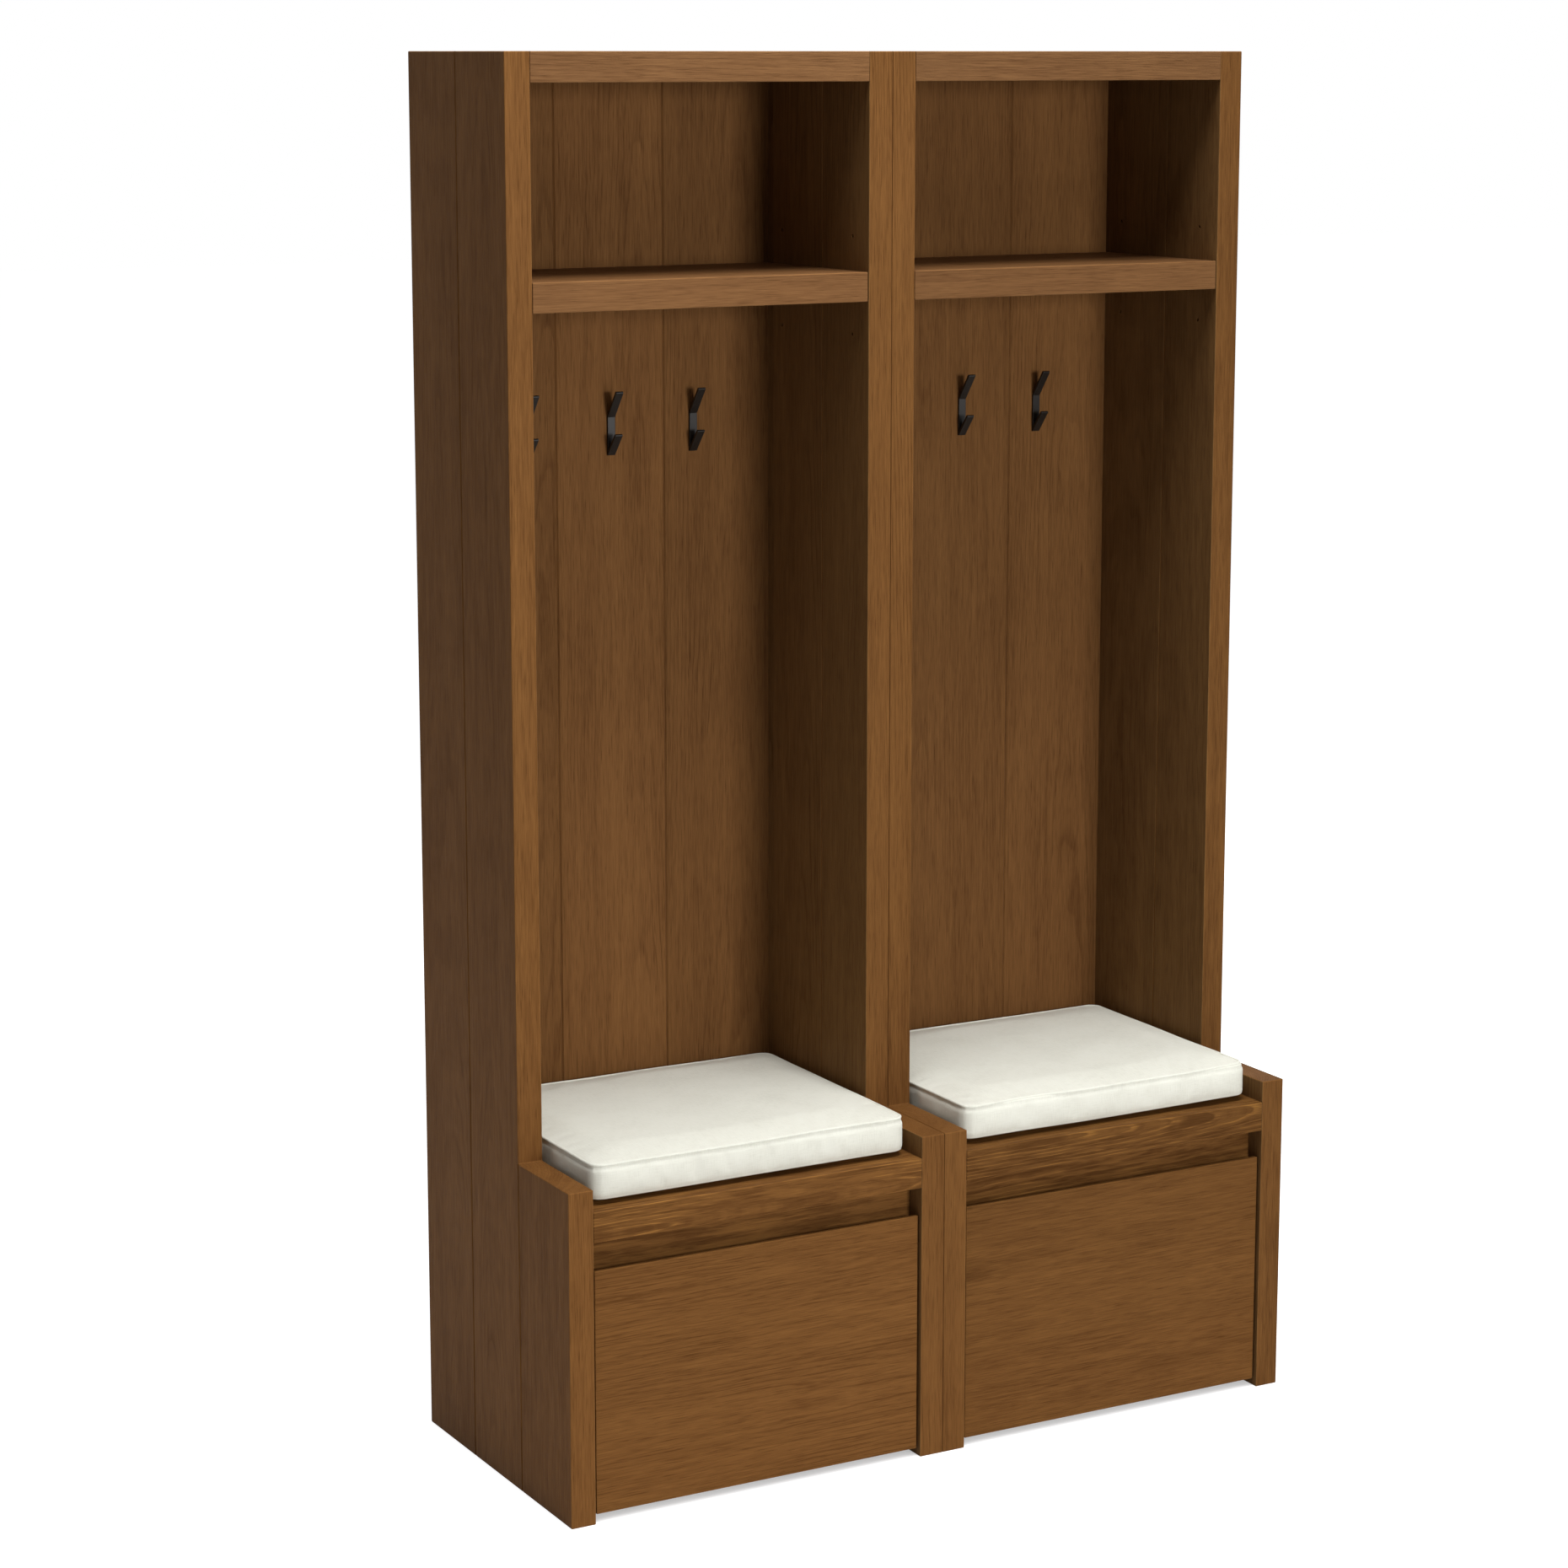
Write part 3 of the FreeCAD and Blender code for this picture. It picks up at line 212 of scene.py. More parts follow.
def woodGrain(tree, nodeName, board, seed, wood):
    # Gives the wood's tone from 0 to 1, its fibres, its pores and each stave's own number
    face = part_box(nodeName)[0]["XYZ".index(board["axes"][1])]
    x, y, z = separate(tree, objectPlace(tree))
    if nodeName.startswith("left_") and board["axes"][0] == "X":   # counted from the left tower's own side
        x = calc(tree, "ADD", x, towerWidth)
    axes = {"X": x, "Y": y, "Z": z}
    across, through, along = (axes[letter] for letter in board["axes"])
    start, width = board["stave"]
    stave = calc(tree, "FLOOR", calc(tree, "DIVIDE", calc(tree, "SUBTRACT", across, start), width))
    dice = addNode(tree, "ShaderNodeTexWhiteNoise", noise_dimensions="1D")
    feed(tree, dice.inputs["W"], calc(tree, "ADD", stave, seed + 0.5))
    diceX, diceY, diceZ = separate(tree, dice.outputs["Color"])

    middle = calc(tree, "MULTIPLY_ADD", calc(tree, "ADD", stave, 0.5), width, start)
    sideways = calc(tree, "MULTIPLY_ADD", centred(tree, diceX), width, calc(tree, "SUBTRACT", across, middle))
    depth = calc(tree, "MULTIPLY_ADD", diceY, board["pith"], board["pith"] * 0.5 - face)
    inwards = calc(tree, "ADD", through, depth)
    lengthwise = calc(tree, "MULTIPLY_ADD", diceZ, rings["shift"], along)
    lengthwise = calc(tree, "ADD", lengthwise, seed * 1.37)

    def streaks(run, detail, roughness=0.5):
        # Clouds drawn out along the board
        widthways, longways = run
        spread = combine(tree, calc(tree, "MULTIPLY", across, widthways), calc(tree, "MULTIPLY", through, widthways),
                         calc(tree, "MULTIPLY", lengthwise, longways))
        return cloudy(tree, spread, 1.0, detail, roughness)

    swell = streaks(rings["warp"], 2.0)
    inwards = calc(tree, "MULTIPLY_ADD", centred(tree, swell), board["pith"] * board.get("swirl", 0.6), inwards)
    inwards = calc(tree, "MULTIPLY_ADD", along, rings["lean"], inwards)
    # Most of a board is plain and the rings stand out in patches
    plain = board.get("plain", 0.45)
    patches = ease(tree, streaks(rings["patches"], 1.0), plain, plain + 0.2, 0.1, 1.2)
    radius = calc(tree, "SQRT", calc(tree, "ADD", calc(tree, "MULTIPLY", sideways, sideways),
                                     calc(tree, "MULTIPLY", inwards, inwards)))
    wobble = streaks(rings["wobble"], 2.0)
    radius = calc(tree, "MULTIPLY_ADD", centred(tree, wobble), board["ring"] * 0.9, radius)
    ring = calc(tree, "FRACT", calc(tree, "DIVIDE", radius, board["ring"]))
    lines = calc(tree, "MULTIPLY", ease(tree, ring, 0.0, 0.08), ease(tree, ring, 0.10, 0.38, 1.0, 0.0))

    tone = 0.5
    for kind, detail in (("coarse", 2.0), ("fine", 2.0), ("hair", 1.0), ("broad", 2.0)):
        run, strength = wood[kind]
        part = streaks(run, detail, 0.55)
        tone = calc(tree, "MULTIPLY_ADD", centred(tree, part), strength, tone)
        if kind == "fine":
            fibres = part
    broken = calc(tree, "MULTIPLY", lines, ease(tree, fibres, 0.3, 0.65, 0.35, 1.25))
    broken = calc(tree, "MULTIPLY", broken, patches)
    tone = calc(tree, "MULTIPLY_ADD", broken, -board["figure"], tone)
    # Darker and lighter flames follow the rings
    outwards, longways = rings["flames"]
    flames = cloudy(tree, combine(tree, calc(tree, "MULTIPLY", radius, outwards), 0.0,
                                  calc(tree, "MULTIPLY", lengthwise, longways)), 1.0, 4.0, 0.6)
    tone = calc(tree, "MULTIPLY_ADD", ease(tree, flames, 0.40, 0.60, -0.5, 0.5), board.get("mottle", 0.05), tone)
    run, strength = wood["pores"]
    pores = ease(tree, streaks(run, 1.0, 0.55), 0.56, 0.72)
    tone = calc(tree, "MULTIPLY_ADD", pores, -strength, tone)
    return calc(tree, "ADD", tone, 0.03), fibres, pores, diceZ


def edgeTone(tree, nodeName):
    # How much paler or darker the wood is along the board's free edges and its joins. The paler rub is wear and also
    # a painted highlight on the edges.
    low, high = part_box(nodeName)
    x, y, z = separate(tree, objectPlace(tree))
    front, top = low[1], high[2]
    if nodeName.endswith("_side"):
        tall = calc(tree, "GREATER_THAN", z, arm["top"] + slack)
        front = calc(tree, "MULTIPLY_ADD", tall, arm["tallFront"] - low[1], low[1])
        onArm = calc(tree, "LESS_THAN", y, arm["tallFront"] - slack)
        top = calc(tree, "MULTIPLY_ADD", onArm, arm["top"] - high[2], high[2])
    fromLow, fromHigh = calc(tree, "SUBTRACT", x, low[0]), calc(tree, "SUBTRACT", high[0], x)
    fromEnd = calc(tree, "MINIMUM", fromLow, fromHigh)
    fromFront = calc(tree, "MINIMUM", calc(tree, "SUBTRACT", y, front), calc(tree, "SUBTRACT", high[1], y))
    fromTop = calc(tree, "MINIMUM", calc(tree, "SUBTRACT", z, low[2]), calc(tree, "SUBTRACT", top, z))
    if nodeName.endswith(("outer_side", "drawer_front")):
        fromJoin = farAway
    elif nodeName.endswith("inner_side"):   # the towers meet at x = 0
        fromEnd, fromJoin = (fromLow, fromHigh) if nodeName.startswith("left_") else (fromHigh, fromLow)
    else:
        fromEnd, fromJoin = farAway, fromEnd
    # The middle one of the three is small only near an edge
    larger = calc(tree, "MINIMUM", calc(tree, "MAXIMUM", fromEnd, fromFront), fromTop)
    middle = calc(tree, "MAXIMUM", calc(tree, "MINIMUM", fromEnd, fromFront), larger)
    # Wear and painted highlight: the edges are made paler in broken patches
    wearAndHighlightPatches = ease(tree, cloudy(tree, objectPlace(tree), 24.0, 2.0), 0.35, 0.60, 0.35, 1.0)
    wearAndHighlight = calc(tree, "MULTIPLY", ease(tree, middle, *oak["wearAndHighlightWidth"], oak["wearAndHighlightLift"], 0.0), wearAndHighlightPatches)
    return calc(tree, "SUBTRACT", wearAndHighlight, ease(tree, fromJoin, *oak["joinWidth"], oak["joinDark"], 0.0))


def paintedBayShade(tree, nodeName):
    # A side's face into its bay has its own warmth, a painted shade tint, and its other faces keep 1
    low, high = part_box(nodeName)
    face = high[0] if nodeName in ("left_outer_side", "right_inner_side") else low[0]
    x = separate(tree, objectPlace(tree))[0]
    inShadedBay = calc(tree, "LESS_THAN", calc(tree, "ABSOLUTE", calc(tree, "SUBTRACT", x, face)), slack)
    return combine(tree, *(calc(tree, "MULTIPLY_ADD", inShadedBay, share - 1.0, 1.0) for share in oak["bayShadeTint"]))


def oakMaterial(nodeName, board, seed):
    material, tree, shader = newMaterial(f"oak_{nodeName}", Specular_IOR_Level=oak["specular"])
    tone, fibres, pores, dice = woodGrain(tree, nodeName, board, seed, oak)
    tone = calc(tree, "ADD", tone, edgeTone(tree, nodeName))
    colour = colourRamp(tree, tone, oak["browns"])
    # Partly painted shade: each piece's lightness is set to how light it looks where it stands
    lightnessAndShade = board["toneAndShade"][nodeName.startswith("right_")]
    spread = oak["staveSpread"]
    colour = tint(tree, colour, calc(tree, "MULTIPLY_ADD", dice, spread, lightnessAndShade - spread / 2))
    colour = warm(tree, colour, board.get("warmth", (1.0, 1.0, 1.0)))
    # Painted shade: the faces into the bays are tinted less orange
    if nodeName.endswith("_side"):
        colour = warm(tree, colour, paintedBayShade(tree, nodeName))
    tree.links.new(colour, shader.inputs["Base Color"])
    tree.links.new(ease(tree, tone, 0.2, 0.8, *oak["rough"]), shader.inputs["Roughness"])
    height = calc(tree, "MULTIPLY_ADD", pores, -0.7, fibres)
    relief(tree, shader, height, 0.0004, 0.5)
    return material


def dress(nodeName, material):
    for materialSlot in nodes[nodeName].material_slots:
        materialSlot.material = material


seed = 3
for side in ("left", "right"):
    for piece, board in boards.items():
        seed += 17
        dress(f"{side}_{piece}", oakMaterial(f"{side}_{piece}", board, seed))
print("oak boards finished")


# Plain wood inside: drawer boxes and dowels

drawerBoards = {
    "drawer_box_front": {"axes": "ZYX", "stave": (0.04, 0.30), "ring": 0.004, "figure": 0.2, "pith": 0.06},
    "drawer_back": {"axes": "ZYX", "stave": (0.04, 0.30), "ring": 0.004, "figure": 0.2, "pith": 0.08},
    "drawer_outer_side": {"axes": "ZXY", "stave": (0.04, 0.30), "ring": 0.004, "figure": 0.2, "pith": 0.07},
    "drawer_inner_side": {"axes": "ZXY", "stave": (0.04, 0.30), "ring": 0.004, "figure": 0.2, "pith": 0.05},
    "drawer_bottom": {"axes": "YZX", "stave": (-0.25, 0.12), "ring": 0.004, "figure": 0.2, "pith": 0.10},
}
paleWood = {
    "coarse": ((90.0, 3.0), 0.3), "fine": ((300.0, 9.0), 0.45), "hair": ((800.0, 30.0), 0.2),
    "broad": ((9.0, 1.2), 0.4), "pores": ((900.0, 60.0), 0.1),
    "rough": (0.6, 0.45), "specular": 0.3,
    "birch": ((0.0, (0.24, 0.145, 0.07)), (0.5, (0.44, 0.285, 0.145)), (1.0, (0.60, 0.42, 0.24))),
    "beech": ((0.0, (0.33, 0.20, 0.105)), (0.5, (0.52, 0.345, 0.19)), (1.0, (0.66, 0.48, 0.30))),
}
dowelBoard = {"axes": "YZX", "stave": (-1.0, 4.0), "ring": 0.002, "figure": 0.15, "pith": 0.02}


def paleMaterial(nodeName, board, stops, seed):
    material, tree, shader = newMaterial(f"pale_{nodeName}", Specular_IOR_Level=paleWood["specular"])
    tone, fibres, pores, dice = woodGrain(tree, nodeName, board, seed, paleWood)
    tree.links.new(colourRamp(tree, tone, stops), shader.inputs["Base Color"])
    tree.links.new(ease(tree, tone, 0.2, 0.8, *paleWood["rough"]), shader.inputs["Roughness"])
    relief(tree, shader, fibres, 0.0002, 0.4)
    return material


for side in ("left", "right"):
    for piece, board in drawerBoards.items():
        seed += 17
        dress(f"{side}_{piece}", paleMaterial(f"{side}_{piece}", board, paleWood["birch"], seed))
dress("panel_dowels", paleMaterial("panel_dowels", dowelBoard, paleWood["beech"], 5))
print("drawer boxes and dowels finished")


# Metal

metals = {
    "hookBlack": {"colour": (0.011, 0.008, 0.006), "metallic": 0.0, "rough": (0.34, 0.46), "grain": (900, 900, 900),
                  "specular": 0.38},
    "slideZinc": {"colour": (0.58, 0.60, 0.62), "metallic": 1.0, "rough": (0.28, 0.44), "grain": (500, 14, 500)},
    "pinNickel": {"colour": (0.66, 0.63, 0.58), "metallic": 1.0, "rough": (0.2, 0.34), "grain": (60, 700, 700)},
    "screwSteel": {"colour": (0.47, 0.46, 0.44), "metallic": 1.0, "rough": (0.3, 0.45), "grain": (400, 400, 400)},
}


def metalMaterial(name, metal):
    material, tree, shader = newMaterial(name, Metallic=metal["metallic"],
                                         Specular_IOR_Level=metal.get("specular", 0.5))
    mapping = addNode(tree, "ShaderNodeMapping")
    feed(tree, mapping.inputs["Vector"], objectPlace(tree))
    mapping.inputs["Scale"].default_value = metal["grain"]
    fine = cloudy(tree, mapping.outputs[0], 1.0, 2.0)
    patches = cloudy(tree, objectPlace(tree), 35.0, 2.0)
    dark = tuple(part * 0.82 for part in metal["colour"])
    light = tuple(part * 1.15 for part in metal["colour"])
    tree.links.new(colourRamp(tree, patches, ((0.3, dark), (0.7, light))), shader.inputs["Base Color"])
    tree.links.new(ease(tree, fine, 0.3, 0.7, *metal["rough"]), shader.inputs["Roughness"])
    relief(tree, shader, fine, 0.00008, 0.5)
    return material


hookBlack, slideZinc, pinNickel, screwSteel = (metalMaterial(name, metal) for name, metal in metals.items())
metalNodes = {
    hookBlack: [f"{side}_hook_{number}" for side in ("left", "right") for number in (1, 2, 3)],
    slideZinc: [name for name in nodes if "_slide_" in name and "screws" not in name],
    pinNickel: ["shelf_pins"],
    screwSteel: [name for name in nodes if "screws" in name or name in ("tower_bolts", "tower_sleeve_nuts")],
}
for material, names in metalNodes.items():
    for name in names:
        dress(name, material)
print("metal finished")


# Cushions

cushion = {
    "width": 0.507, "front": -0.2175, "back": 0.1995, "bottom": 0.4552, "top": 0.5128,
    "cornerRadius": 0.019, "edgeRadius": 0.005,
    "voxel": 0.006, "frames": 20,
    "lumps": 0.0009, "lumpsPerMetre": 9.0,
    "seamInset": 0.0065, "seamDepth": 0.0055, "seamHold": 0.8,   # the part of the edges that the seams hold
    "crownReach": 0.009, "sag": 0.002, "sideReach": 0.003,   # how far the stuffing may move the cloth
    "lowest": 0.4549,   # just over the seat
    "rimLift": 0.0062, "rimWidth": 0.045, "rimHeight": 0.02,   # how far the underside rises towards its rim
    "pipingRadius": 0.0025, "pipingProud": 0.0006, "seamWander": 0.0016,
    "creaseDrop": 0.0062, "creaseReach": 0.0042, "creaseDepth": 0.0016,   # the cloth pulled in under the top piping
    "cloth": {"quality": 6, "mass": 0.25, "tension_stiffness": 12.0, "compression_stiffness": 12.0,
              "shear_stiffness": 5.0, "bending_stiffness": 4.0, "shrink_min": -0.004, "use_pressure": True,
              "uniform_pressure_force": 4.0, "vertex_group_mass": "seams", "pin_stiffness": 0.6},
}
middleY = (cushion["front"] + cushion["back"]) / 2
halfX, halfY = cushion["width"] / 2, (cushion["back"] - cushion["front"]) / 2


def boxCushion(centreX):
    # A box with round upright corners, a little smaller than the cushion
    bm = bmesh.new()
    bmesh.ops.create_cube(bm, size=1.0)
    size = Vector((cushion["width"], cushion["back"] - cushion["front"], cushion["top"] - cushion["bottom"]))
    middle = Vector((centreX, middleY, (cushion["top"] + cushion["bottom"]) / 2))
    bmesh.ops.scale(bm, vec=size, verts=bm.verts)
    upright = [edge for edge in bm.edges if abs(edge.verts[0].co.z - edge.verts[1].co.z) > 0.01]
    bmesh.ops.bevel(bm, geom=upright, offset=cushion["cornerRadius"], affect="EDGES", segments=8, profile=0.5,
                    material=-1)
    rims = [edge for edge in bm.edges if abs(edge.verts[0].co.z - edge.verts[1].co.z) < 0.0001]
    bmesh.ops.bevel(bm, geom=rims, offset=cushion["edgeRadius"], affect="EDGES", segments=2, profile=0.5, material=-1)
    bmesh.ops.translate(bm, vec=middle, verts=bm.verts)
    return bm


def meshPiece(name, bm):
    mesh = bpy.data.meshes.new(name)
    bm.to_mesh(mesh)
    bm.free()
    piece = bpy.data.objects.new(name, mesh)
    bpy.context.scene.collection.objects.link(piece)
    return piece


def applied(piece):
    # The piece's mesh with its modifiers in it
    bpy.context.view_layer.update()
    shown = piece.evaluated_get(bpy.context.evaluated_depsgraph_get())
    mesh = bpy.data.meshes.new_from_object(shown)
    piece.modifiers.clear()
    piece.data = mesh
    return piece


def stuff(piece, centreX, seed):
    # Blows the cushion up as cloth between its two seams, inside the space of its solid
    for vertex in piece.data.vertices:
        spot = vertex.co * cushion["lumpsPerMetre"] + Vector((seed * 3.1, 0.0, 0.0))
        share = min(1.0, max(0.0, (vertex.co.z - cushion["bottom"]) / 0.01))   # the underside stays flat
        vertex.co += noise.noise_vector(spot) * cushion["lumps"] * share
    start = [vertex.co.copy() for vertex in piece.data.vertices]
    seams = piece.vertex_groups.new(name="seams")
    for vertex in piece.data.vertices:
        inX = halfX - abs(vertex.co.x - centreX)
        inY = min(vertex.co.y - cushion["front"], cushion["back"] - vertex.co.y)
        nearRim = min(abs(vertex.co.z - cushion["top"]), abs(vertex.co.z - cushion["bottom"]))
        if min(inX, inY) < cushion["seamInset"] and nearRim < cushion["seamDepth"]:
            seams.add([vertex.index], cushion["seamHold"], "REPLACE")
    cloth = piece.modifiers.new("cloth", "CLOTH")
    for name, value in cushion["cloth"].items():
        setattr(cloth.settings, name, value)
    cloth.settings.effector_weights.gravity = 0.0
    cloth.point_cache.frame_start = 1
    cloth.point_cache.frame_end = cushion["frames"]
    for number in range(1, cushion["frames"] + 1):
        bpy.context.scene.frame_set(number)
    applied(piece)
    bpy.context.scene.frame_set(1)
    for vertex, before in zip(piece.data.vertices, start):
        move = vertex.co - before
        move.z = min(max(move.z, -cushion["sag"]), cushion["crownReach"])
        flat = Vector((move.x, move.y, 0.0))
        if flat.length > cushion["sideReach"]:
            flat *= cushion["sideReach"] / flat.length
        vertex.co = before + Vector((flat.x, flat.y, move.z))
        vertex.co.z = max(vertex.co.z, cushion["lowest"])
    raiseRim(piece, centreX)


def raiseRim(piece, centreX):
    # The stuffing rounds the underside up towards its rim, so a dark gap shows over the seat
    for vertex in piece.data.vertices:
        inset = min(halfX - abs(vertex.co.x - centreX), halfY - abs(vertex.co.y - middleY))
        near = min(1.0, max(0.0, 1.0 - inset / cushion["rimWidth"]))
        low = min(1.0, max(0.0, 1.0 - (vertex.co.z - cushion["bottom"]) / cushion["rimHeight"]))
        vertex.co.z += cushion["rimLift"] * near * near * (3 - 2 * near) * low


def pullIn(piece):
    # The sewing draws the sides in just under the top piping
    creaseHeight = cushion["top"] - cushion["creaseDrop"]
    for vertex in piece.data.vertices:
        near = 1.0 - abs(vertex.co.z - creaseHeight) / cushion["creaseReach"]
        outwards = Vector((vertex.normal.x, vertex.normal.y, 0.0))
        if near > 0.0 and outwards.length > 0.5:
            vertex.co -= outwards.normalized() * cushion["creaseDepth"] * near


def seamLoop(body, centreX, height, proud):
    # Points round the cushion at one height, lying on its surface
    tree = BVHTree.FromObject(body, bpy.context.evaluated_depsgraph_get())
    radius = cushion["cornerRadius"]
    points = []
    for cornerX, cornerY, turn in ((1, 1, 0), (-1, 1, 90), (-1, -1, 180), (1, -1, 270)):
        for step in range(7):
            angle = math.radians(turn + step * 15)
            points.append(Vector((centreX + cornerX * (halfX - radius) + radius * math.cos(angle),
                                  middleY + cornerY * (halfY - radius) + radius * math.sin(angle), height)))
    loop = []
    for index, point in enumerate(points):
        following = points[(index + 1) % len(points)]
        count = max(1, round((following - point).length / 0.008))   # a point every 8 mm
        loop += [point.lerp(following, step / count) for step in range(count)]
    onSurface = []
    for index, point in enumerate(loop):
        along = (loop[(index + 1) % len(loop)] - loop[index - 1]).normalized()
        outwards = Vector((along.y, -along.x, 0.0))
        point.z += noise.noise(point * 7.0) * cushion["seamWander"]
        found = tree.ray_cast(point + outwards * 0.03, -outwards, 0.06)[0]
        onSurface.append((found or point) + outwards * (proud - cushion["pipingRadius"] * 0.5))
    return onSurface


def piping(name, points):
    curve = bpy.data.curves.new(name, "CURVE")
    curve.dimensions = "3D"
    curve.bevel_depth = cushion["pipingRadius"]
    curve.bevel_resolution = 3
    spline = curve.splines.new("NURBS")
    spline.points.add(len(points) - 1)
    for target, point in zip(spline.points, points):
        target.co = (*point, 1.0)
    spline.use_cyclic_u = True
    spline.order_u = 3
    spline.resolution_u = 2
    rope = bpy.data.objects.new(name, curve)
    bpy.context.scene.collection.objects.link(rope)
    bpy.context.view_layer.update()
    mesh = bpy.data.meshes.new_from_object(rope.evaluated_get(bpy.context.evaluated_depsgraph_get()))
    bpy.data.objects.remove(rope)
    piece = bpy.data.objects.new(name, mesh)
    bpy.context.scene.collection.objects.link(piece)
    return piece


def weaveMap(mesh):
    # Each face takes its two flattest axes, in metres
    layer = mesh.uv_layers.new(name="weave")
    for face in mesh.polygons:
        sizes = [abs(part) for part in face.normal]
        first, second = {0: (1, 2), 1: (0, 2), 2: (0, 1)}[sizes.index(max(sizes))]
        for paintedContactShade in face.loop_indices:
            place = mesh.vertices[mesh.loops[paintedContactShade].vertex_index].co
            layer.data[paintedContactShade].uv = (place[first], place[second])


def shadeSmooth(mesh):
    mesh.polygons.foreach_set("use_smooth", [True] * len(mesh.polygons))


cottonLook = {
    "thread": 0.0013,   # metres a thread and its gap take
    "slubs": (900.0, 60.0),   # thick places in the thread per metre across it and along it
    "whites": ((0.2, (0.74, 0.735, 0.64)), (0.5, (0.875, 0.873, 0.77)), (0.8, (0.91, 0.91, 0.82))),
}


def clothMaterial():
    material, tree, shader = newMaterial("cushion_cotton", Specular_IOR_Level=0.2, Sheen_Weight=0.15,
                                         Sheen_Roughness=0.5)
    uvMap = addNode(tree, "ShaderNodeUVMap", uv_map="weave")
    u, v = separate(tree, uvMap.outputs[0])[:2]
    pitch = 2 * math.pi / cottonLook["thread"]
    warp = calc(tree, "SINE", calc(tree, "MULTIPLY", u, pitch))
    weft = calc(tree, "SINE", calc(tree, "MULTIPLY", v, pitch))
    weave = calc(tree, "MULTIPLY", warp, weft)
    many, few = cottonLook["slubs"]
    slubs, crossSlubs = (cloudy(tree, combine(tree, calc(tree, "MULTIPLY", u, perU), calc(tree, "MULTIPLY", v, perV),
                                              layer), 1.0)
                         for perU, perV, layer in ((many, few, 0.0), (few, many, 3.0)))
    patches = cloudy(tree, objectPlace(tree), 14.0, 3.0)
    tone = calc(tree, "MULTIPLY_ADD", weave, 0.10, 0.5)
    for share, part in ((0.5, slubs), (0.5, crossSlubs), (0.4, patches)):
        tone = calc(tree, "MULTIPLY_ADD", centred(tree, part), share, tone)
    tree.links.new(colourRamp(tree, tone, cottonLook["whites"]), shader.inputs["Base Color"])
    tree.links.new(ease(tree, slubs, 0.3, 0.7, 0.82, 0.92), shader.inputs["Roughness"])
    relief(tree, shader, calc(tree, "MULTIPLY_ADD", weave, 0.4, tone), 0.0005, 0.7)
    return material


cotton = clothMaterial()
for side, centreX in (("left", -towerWidth / 2), ("right", towerWidth / 2)):
    cover = meshPiece(f"{side}_cushion_cover", boxCushion(centreX))
    remesh = cover.modifiers.new("remesh", "REMESH")
    remesh.mode = "VOXEL"
    remesh.voxel_size = cushion["voxel"]
    applied(cover)
    stuff(cover, centreX, 1 if side == "left" else 2)
    finer = cover.modifiers.new("finer", "SUBSURF")
    finer.levels = finer.render_levels = 1
    applied(cover)
    pullIn(cover)
    shadeSmooth(cover.data)
    weaveMap(cover.data)
    cover.data.materials.append(cotton)
    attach(cover, f"{side}_cushion")
    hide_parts(f"{side}_cushion")
    # The lower piping lies nearly flush, under the edge
    for place, height, proud in (("top", cushion["top"] - 0.002, cushion["pipingProud"]),
                                 ("bottom", cushion["bottom"] + cushion["rimLift"] + 0.003, -0.0006)):
        cord = piping(f"{side}_cushion_{place}_piping", seamLoop(cover, centreX, height, proud))
        shadeSmooth(cord.data)
        weaveMap(cord.data)
        cord.data.materials.append(cotton)
        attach(cord, f"{side}_cushion")
    print(side, "cushion finished,", len(cover.data.polygons), "faces")


# Floor and background

studio = {
    "ambient": 0.205,
    # The floor as it is seen, which glows, and the plain grey one that light comes off
    "floorSize": 30.0, "floorDiffuse": 0.60, "floorGlow": 0.88, "floorGrey": 0.8,
    # Painted contact shadow: near the object's foot ambient occlusion dims the floor's glow
    "contactReach": 0.08, "contactGlow": 0.40, "contactFade": 0.45,   # the darker line round the object's foot
    "key": {"place": (0.65, -5.75, 2.0), "aim": (0.0, 0.0, 1.3), "size": 1.15, "power": 178.0},
    "overhead": {"place": (0.0, -0.62, 4.2), "aim": (0.0, -0.2, 0.6), "size": 1.6, "power": 118.0},
    # Lights the back and the right side, which the camera doesn't see
    "rear": {"place": (3.4, 3.6, 2.6), "aim": (0.2, 0.1, 1.0), "size": 2.0, "power": 95.0, "shine": False},
}


def seenDirectly(tree):
    # 1 for rays from the camera, mirrors and glass, 0 for the light on the object
    path = addNode(tree, "ShaderNodeLightPath").outputs
    return calc(tree, "MAXIMUM", calc(tree, "MAXIMUM", path["Is Camera Ray"], path["Is Glossy Ray"]),
                path["Is Transmission Ray"])


def mixShaders(tree, share, first, second):
    node = addNode(tree, "ShaderNodeMixShader")
    feed(tree, node.inputs[0], share)
    tree.links.new(first, node.inputs[1])
    tree.links.new(second, node.inputs[2])
    return node.outputs[0]


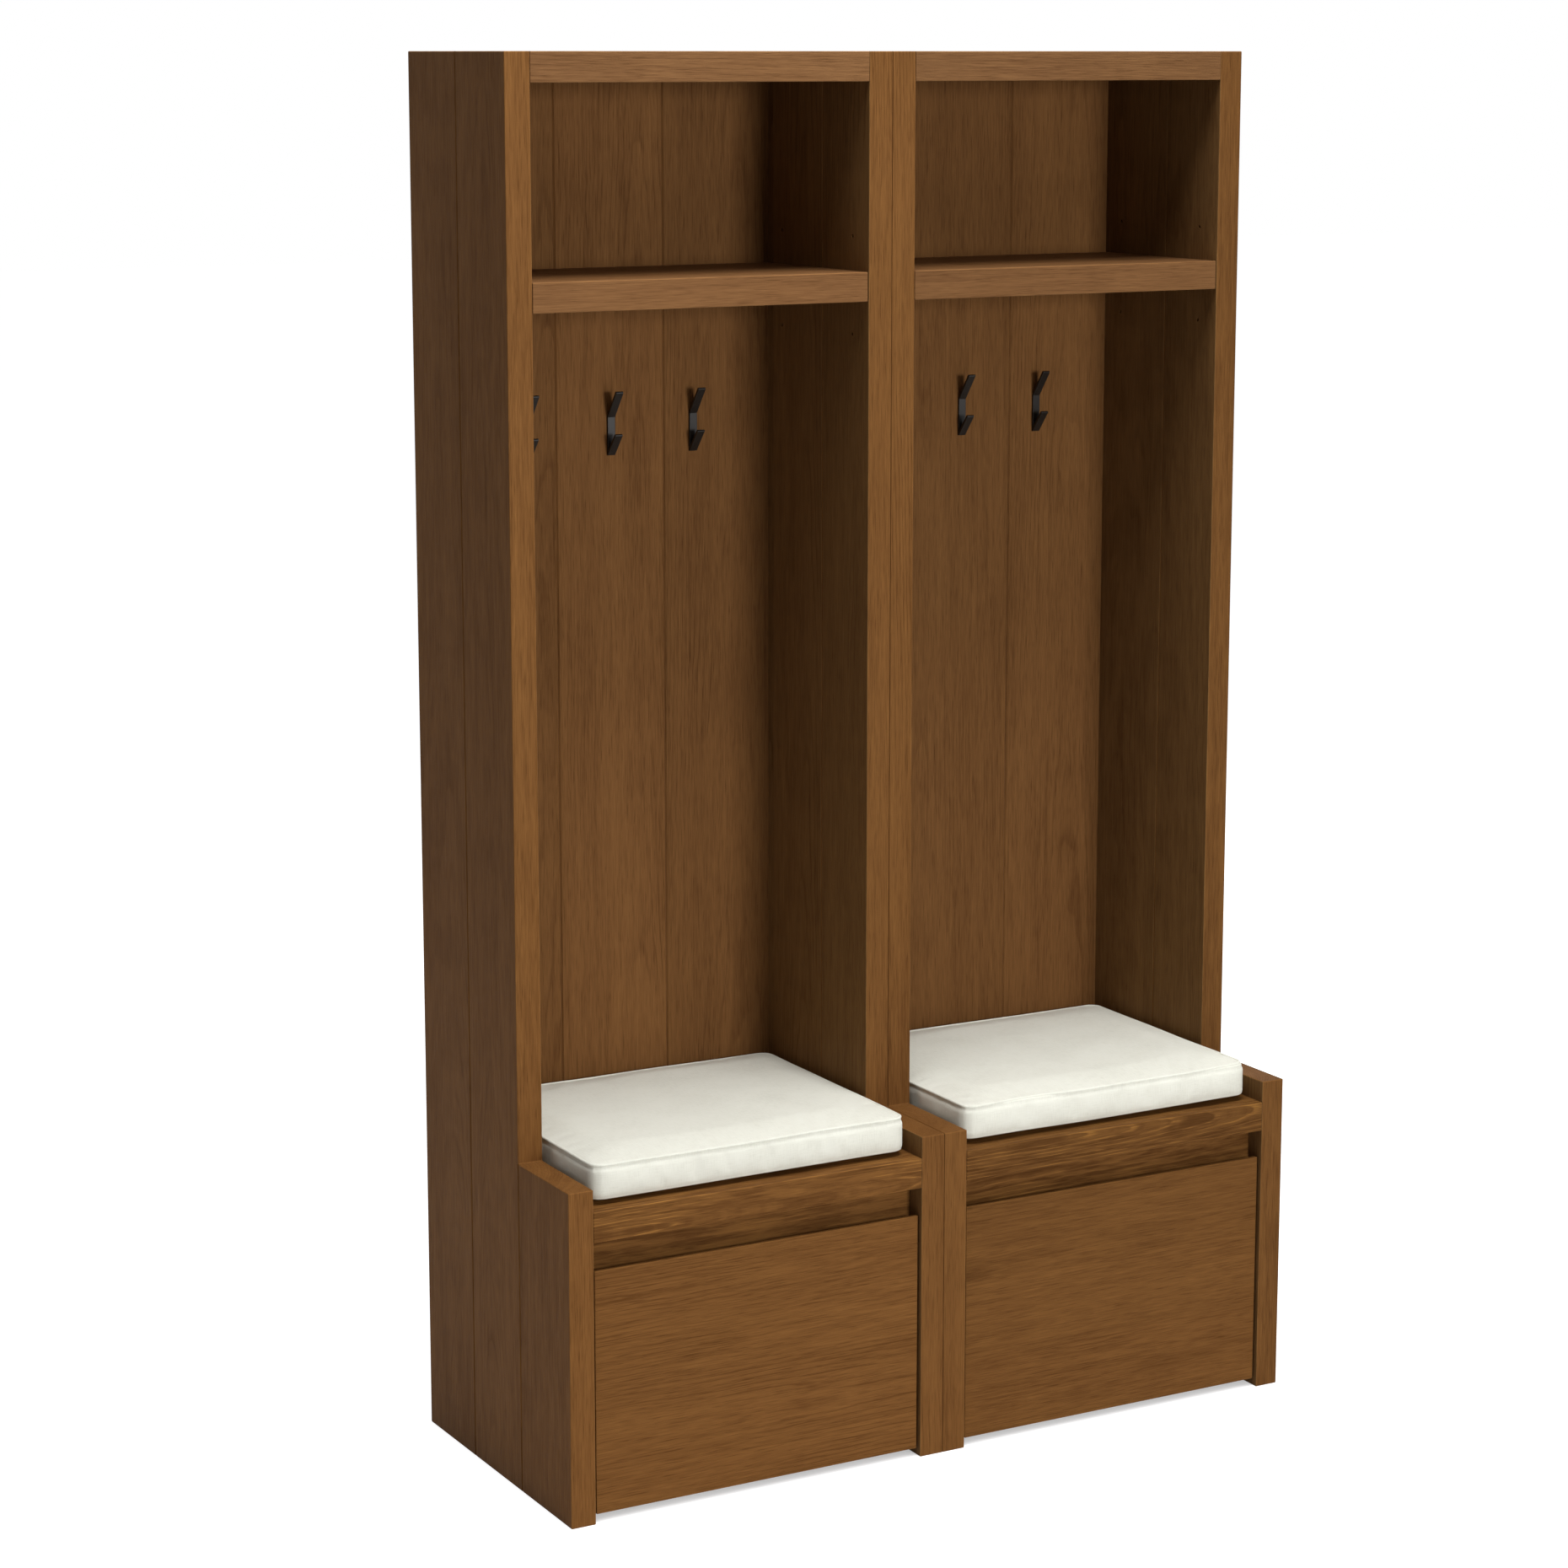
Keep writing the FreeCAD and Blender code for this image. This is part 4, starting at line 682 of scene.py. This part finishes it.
def paleFloor():
    bm = bmesh.new()
    bmesh.ops.create_grid(bm, x_segments=1, y_segments=1, size=studio["floorSize"])
    floor = meshPiece("floor", bm)
    material = bpy.data.materials.new("pale_floor")
    material.use_nodes = True
    tree = material.node_tree
    tree.nodes.clear()
    plain = addNode(tree, "ShaderNodeBsdfDiffuse")
    plain.inputs["Color"].default_value = (*[studio["floorGrey"]] * 3, 1.0)
    faint = addNode(tree, "ShaderNodeBsdfDiffuse")
    faint.inputs["Color"].default_value = (*[studio["floorDiffuse"]] * 3, 1.0)
    # Painted contact shadow: ambient occlusion near the object dims the floor's glow
    paintedContactShade = addNode(tree, "ShaderNodeAmbientOcclusion")
    paintedContactShade.inputs["Distance"].default_value = studio["contactReach"]
    glow = addNode(tree, "ShaderNodeEmission")
    full = studio["floorGlow"]
    feed(tree, glow.inputs["Strength"], ease(tree, paintedContactShade.outputs["AO"], 0.0, studio["contactFade"],
                                             full * studio["contactGlow"], full))
    both = addNode(tree, "ShaderNodeAddShader")
    tree.links.new(faint.outputs[0], both.inputs[0])
    tree.links.new(glow.outputs[0], both.inputs[1])
    output = addNode(tree, "ShaderNodeOutputMaterial")
    tree.links.new(mixShaders(tree, seenDirectly(tree), plain.outputs[0], both.outputs[0]), output.inputs[0])
    floor.data.materials.append(material)


def whiteSurround():
    world = bpy.data.worlds.new("studio")
    bpy.context.scene.world = world
    world.use_nodes = True
    tree = world.node_tree
    tree.nodes.clear()
    soft = addNode(tree, "ShaderNodeBackground")
    soft.inputs["Strength"].default_value = studio["ambient"]
    white = addNode(tree, "ShaderNodeBackground")
    for background in (soft, white):
        background.inputs["Color"].default_value = (1.0, 1.0, 1.0, 1.0)
    output = addNode(tree, "ShaderNodeOutputWorld")
    tree.links.new(mixShaders(tree, seenDirectly(tree), soft.outputs[0], white.outputs[0]), output.inputs[0])


def softbox(name, lamp):
    light = bpy.data.lights.new(name, "AREA")
    light.shape = "SQUARE"
    light.size = lamp["size"]
    light.energy = lamp["power"]
    box = bpy.data.objects.new(name, light)
    box.location = lamp["place"]
    box.visible_camera = False
    box.visible_glossy = lamp.get("shine", True)
    box.rotation_euler = (Vector(lamp["aim"]) - Vector(lamp["place"])).to_track_quat("-Z", "Y").to_euler()
    bpy.context.scene.collection.objects.link(box)


paleFloor()
whiteSurround()
for name in ("key", "overhead", "rear"):
    softbox(f"{name}_softbox", studio[name])
print("studio built")


# Camera

shot = {"place": (-2.7616, -4.7185, 2.0286), "down": 10.087, "right": 29.126,   # metres and degrees
        "fieldOfView": 23.596, "shiftUp": -0.04, "reach": 80.0}

cameraData = bpy.data.cameras.new("camera")
cameraData.sensor_fit = "AUTO"
cameraData.angle = math.radians(shot["fieldOfView"])
cameraData.shift_y = shot["shiftUp"]
cameraData.clip_end = shot["reach"]
camera = bpy.data.objects.new("camera", cameraData)
camera.location = shot["place"]
camera.rotation_euler = (math.radians(90 - shot["down"]), 0.0, math.radians(-shot["right"]))
bpy.context.scene.collection.objects.link(camera)
bpy.context.scene.camera = camera
bpy.context.scene.view_settings.view_transform = "Standard"
print("camera set")
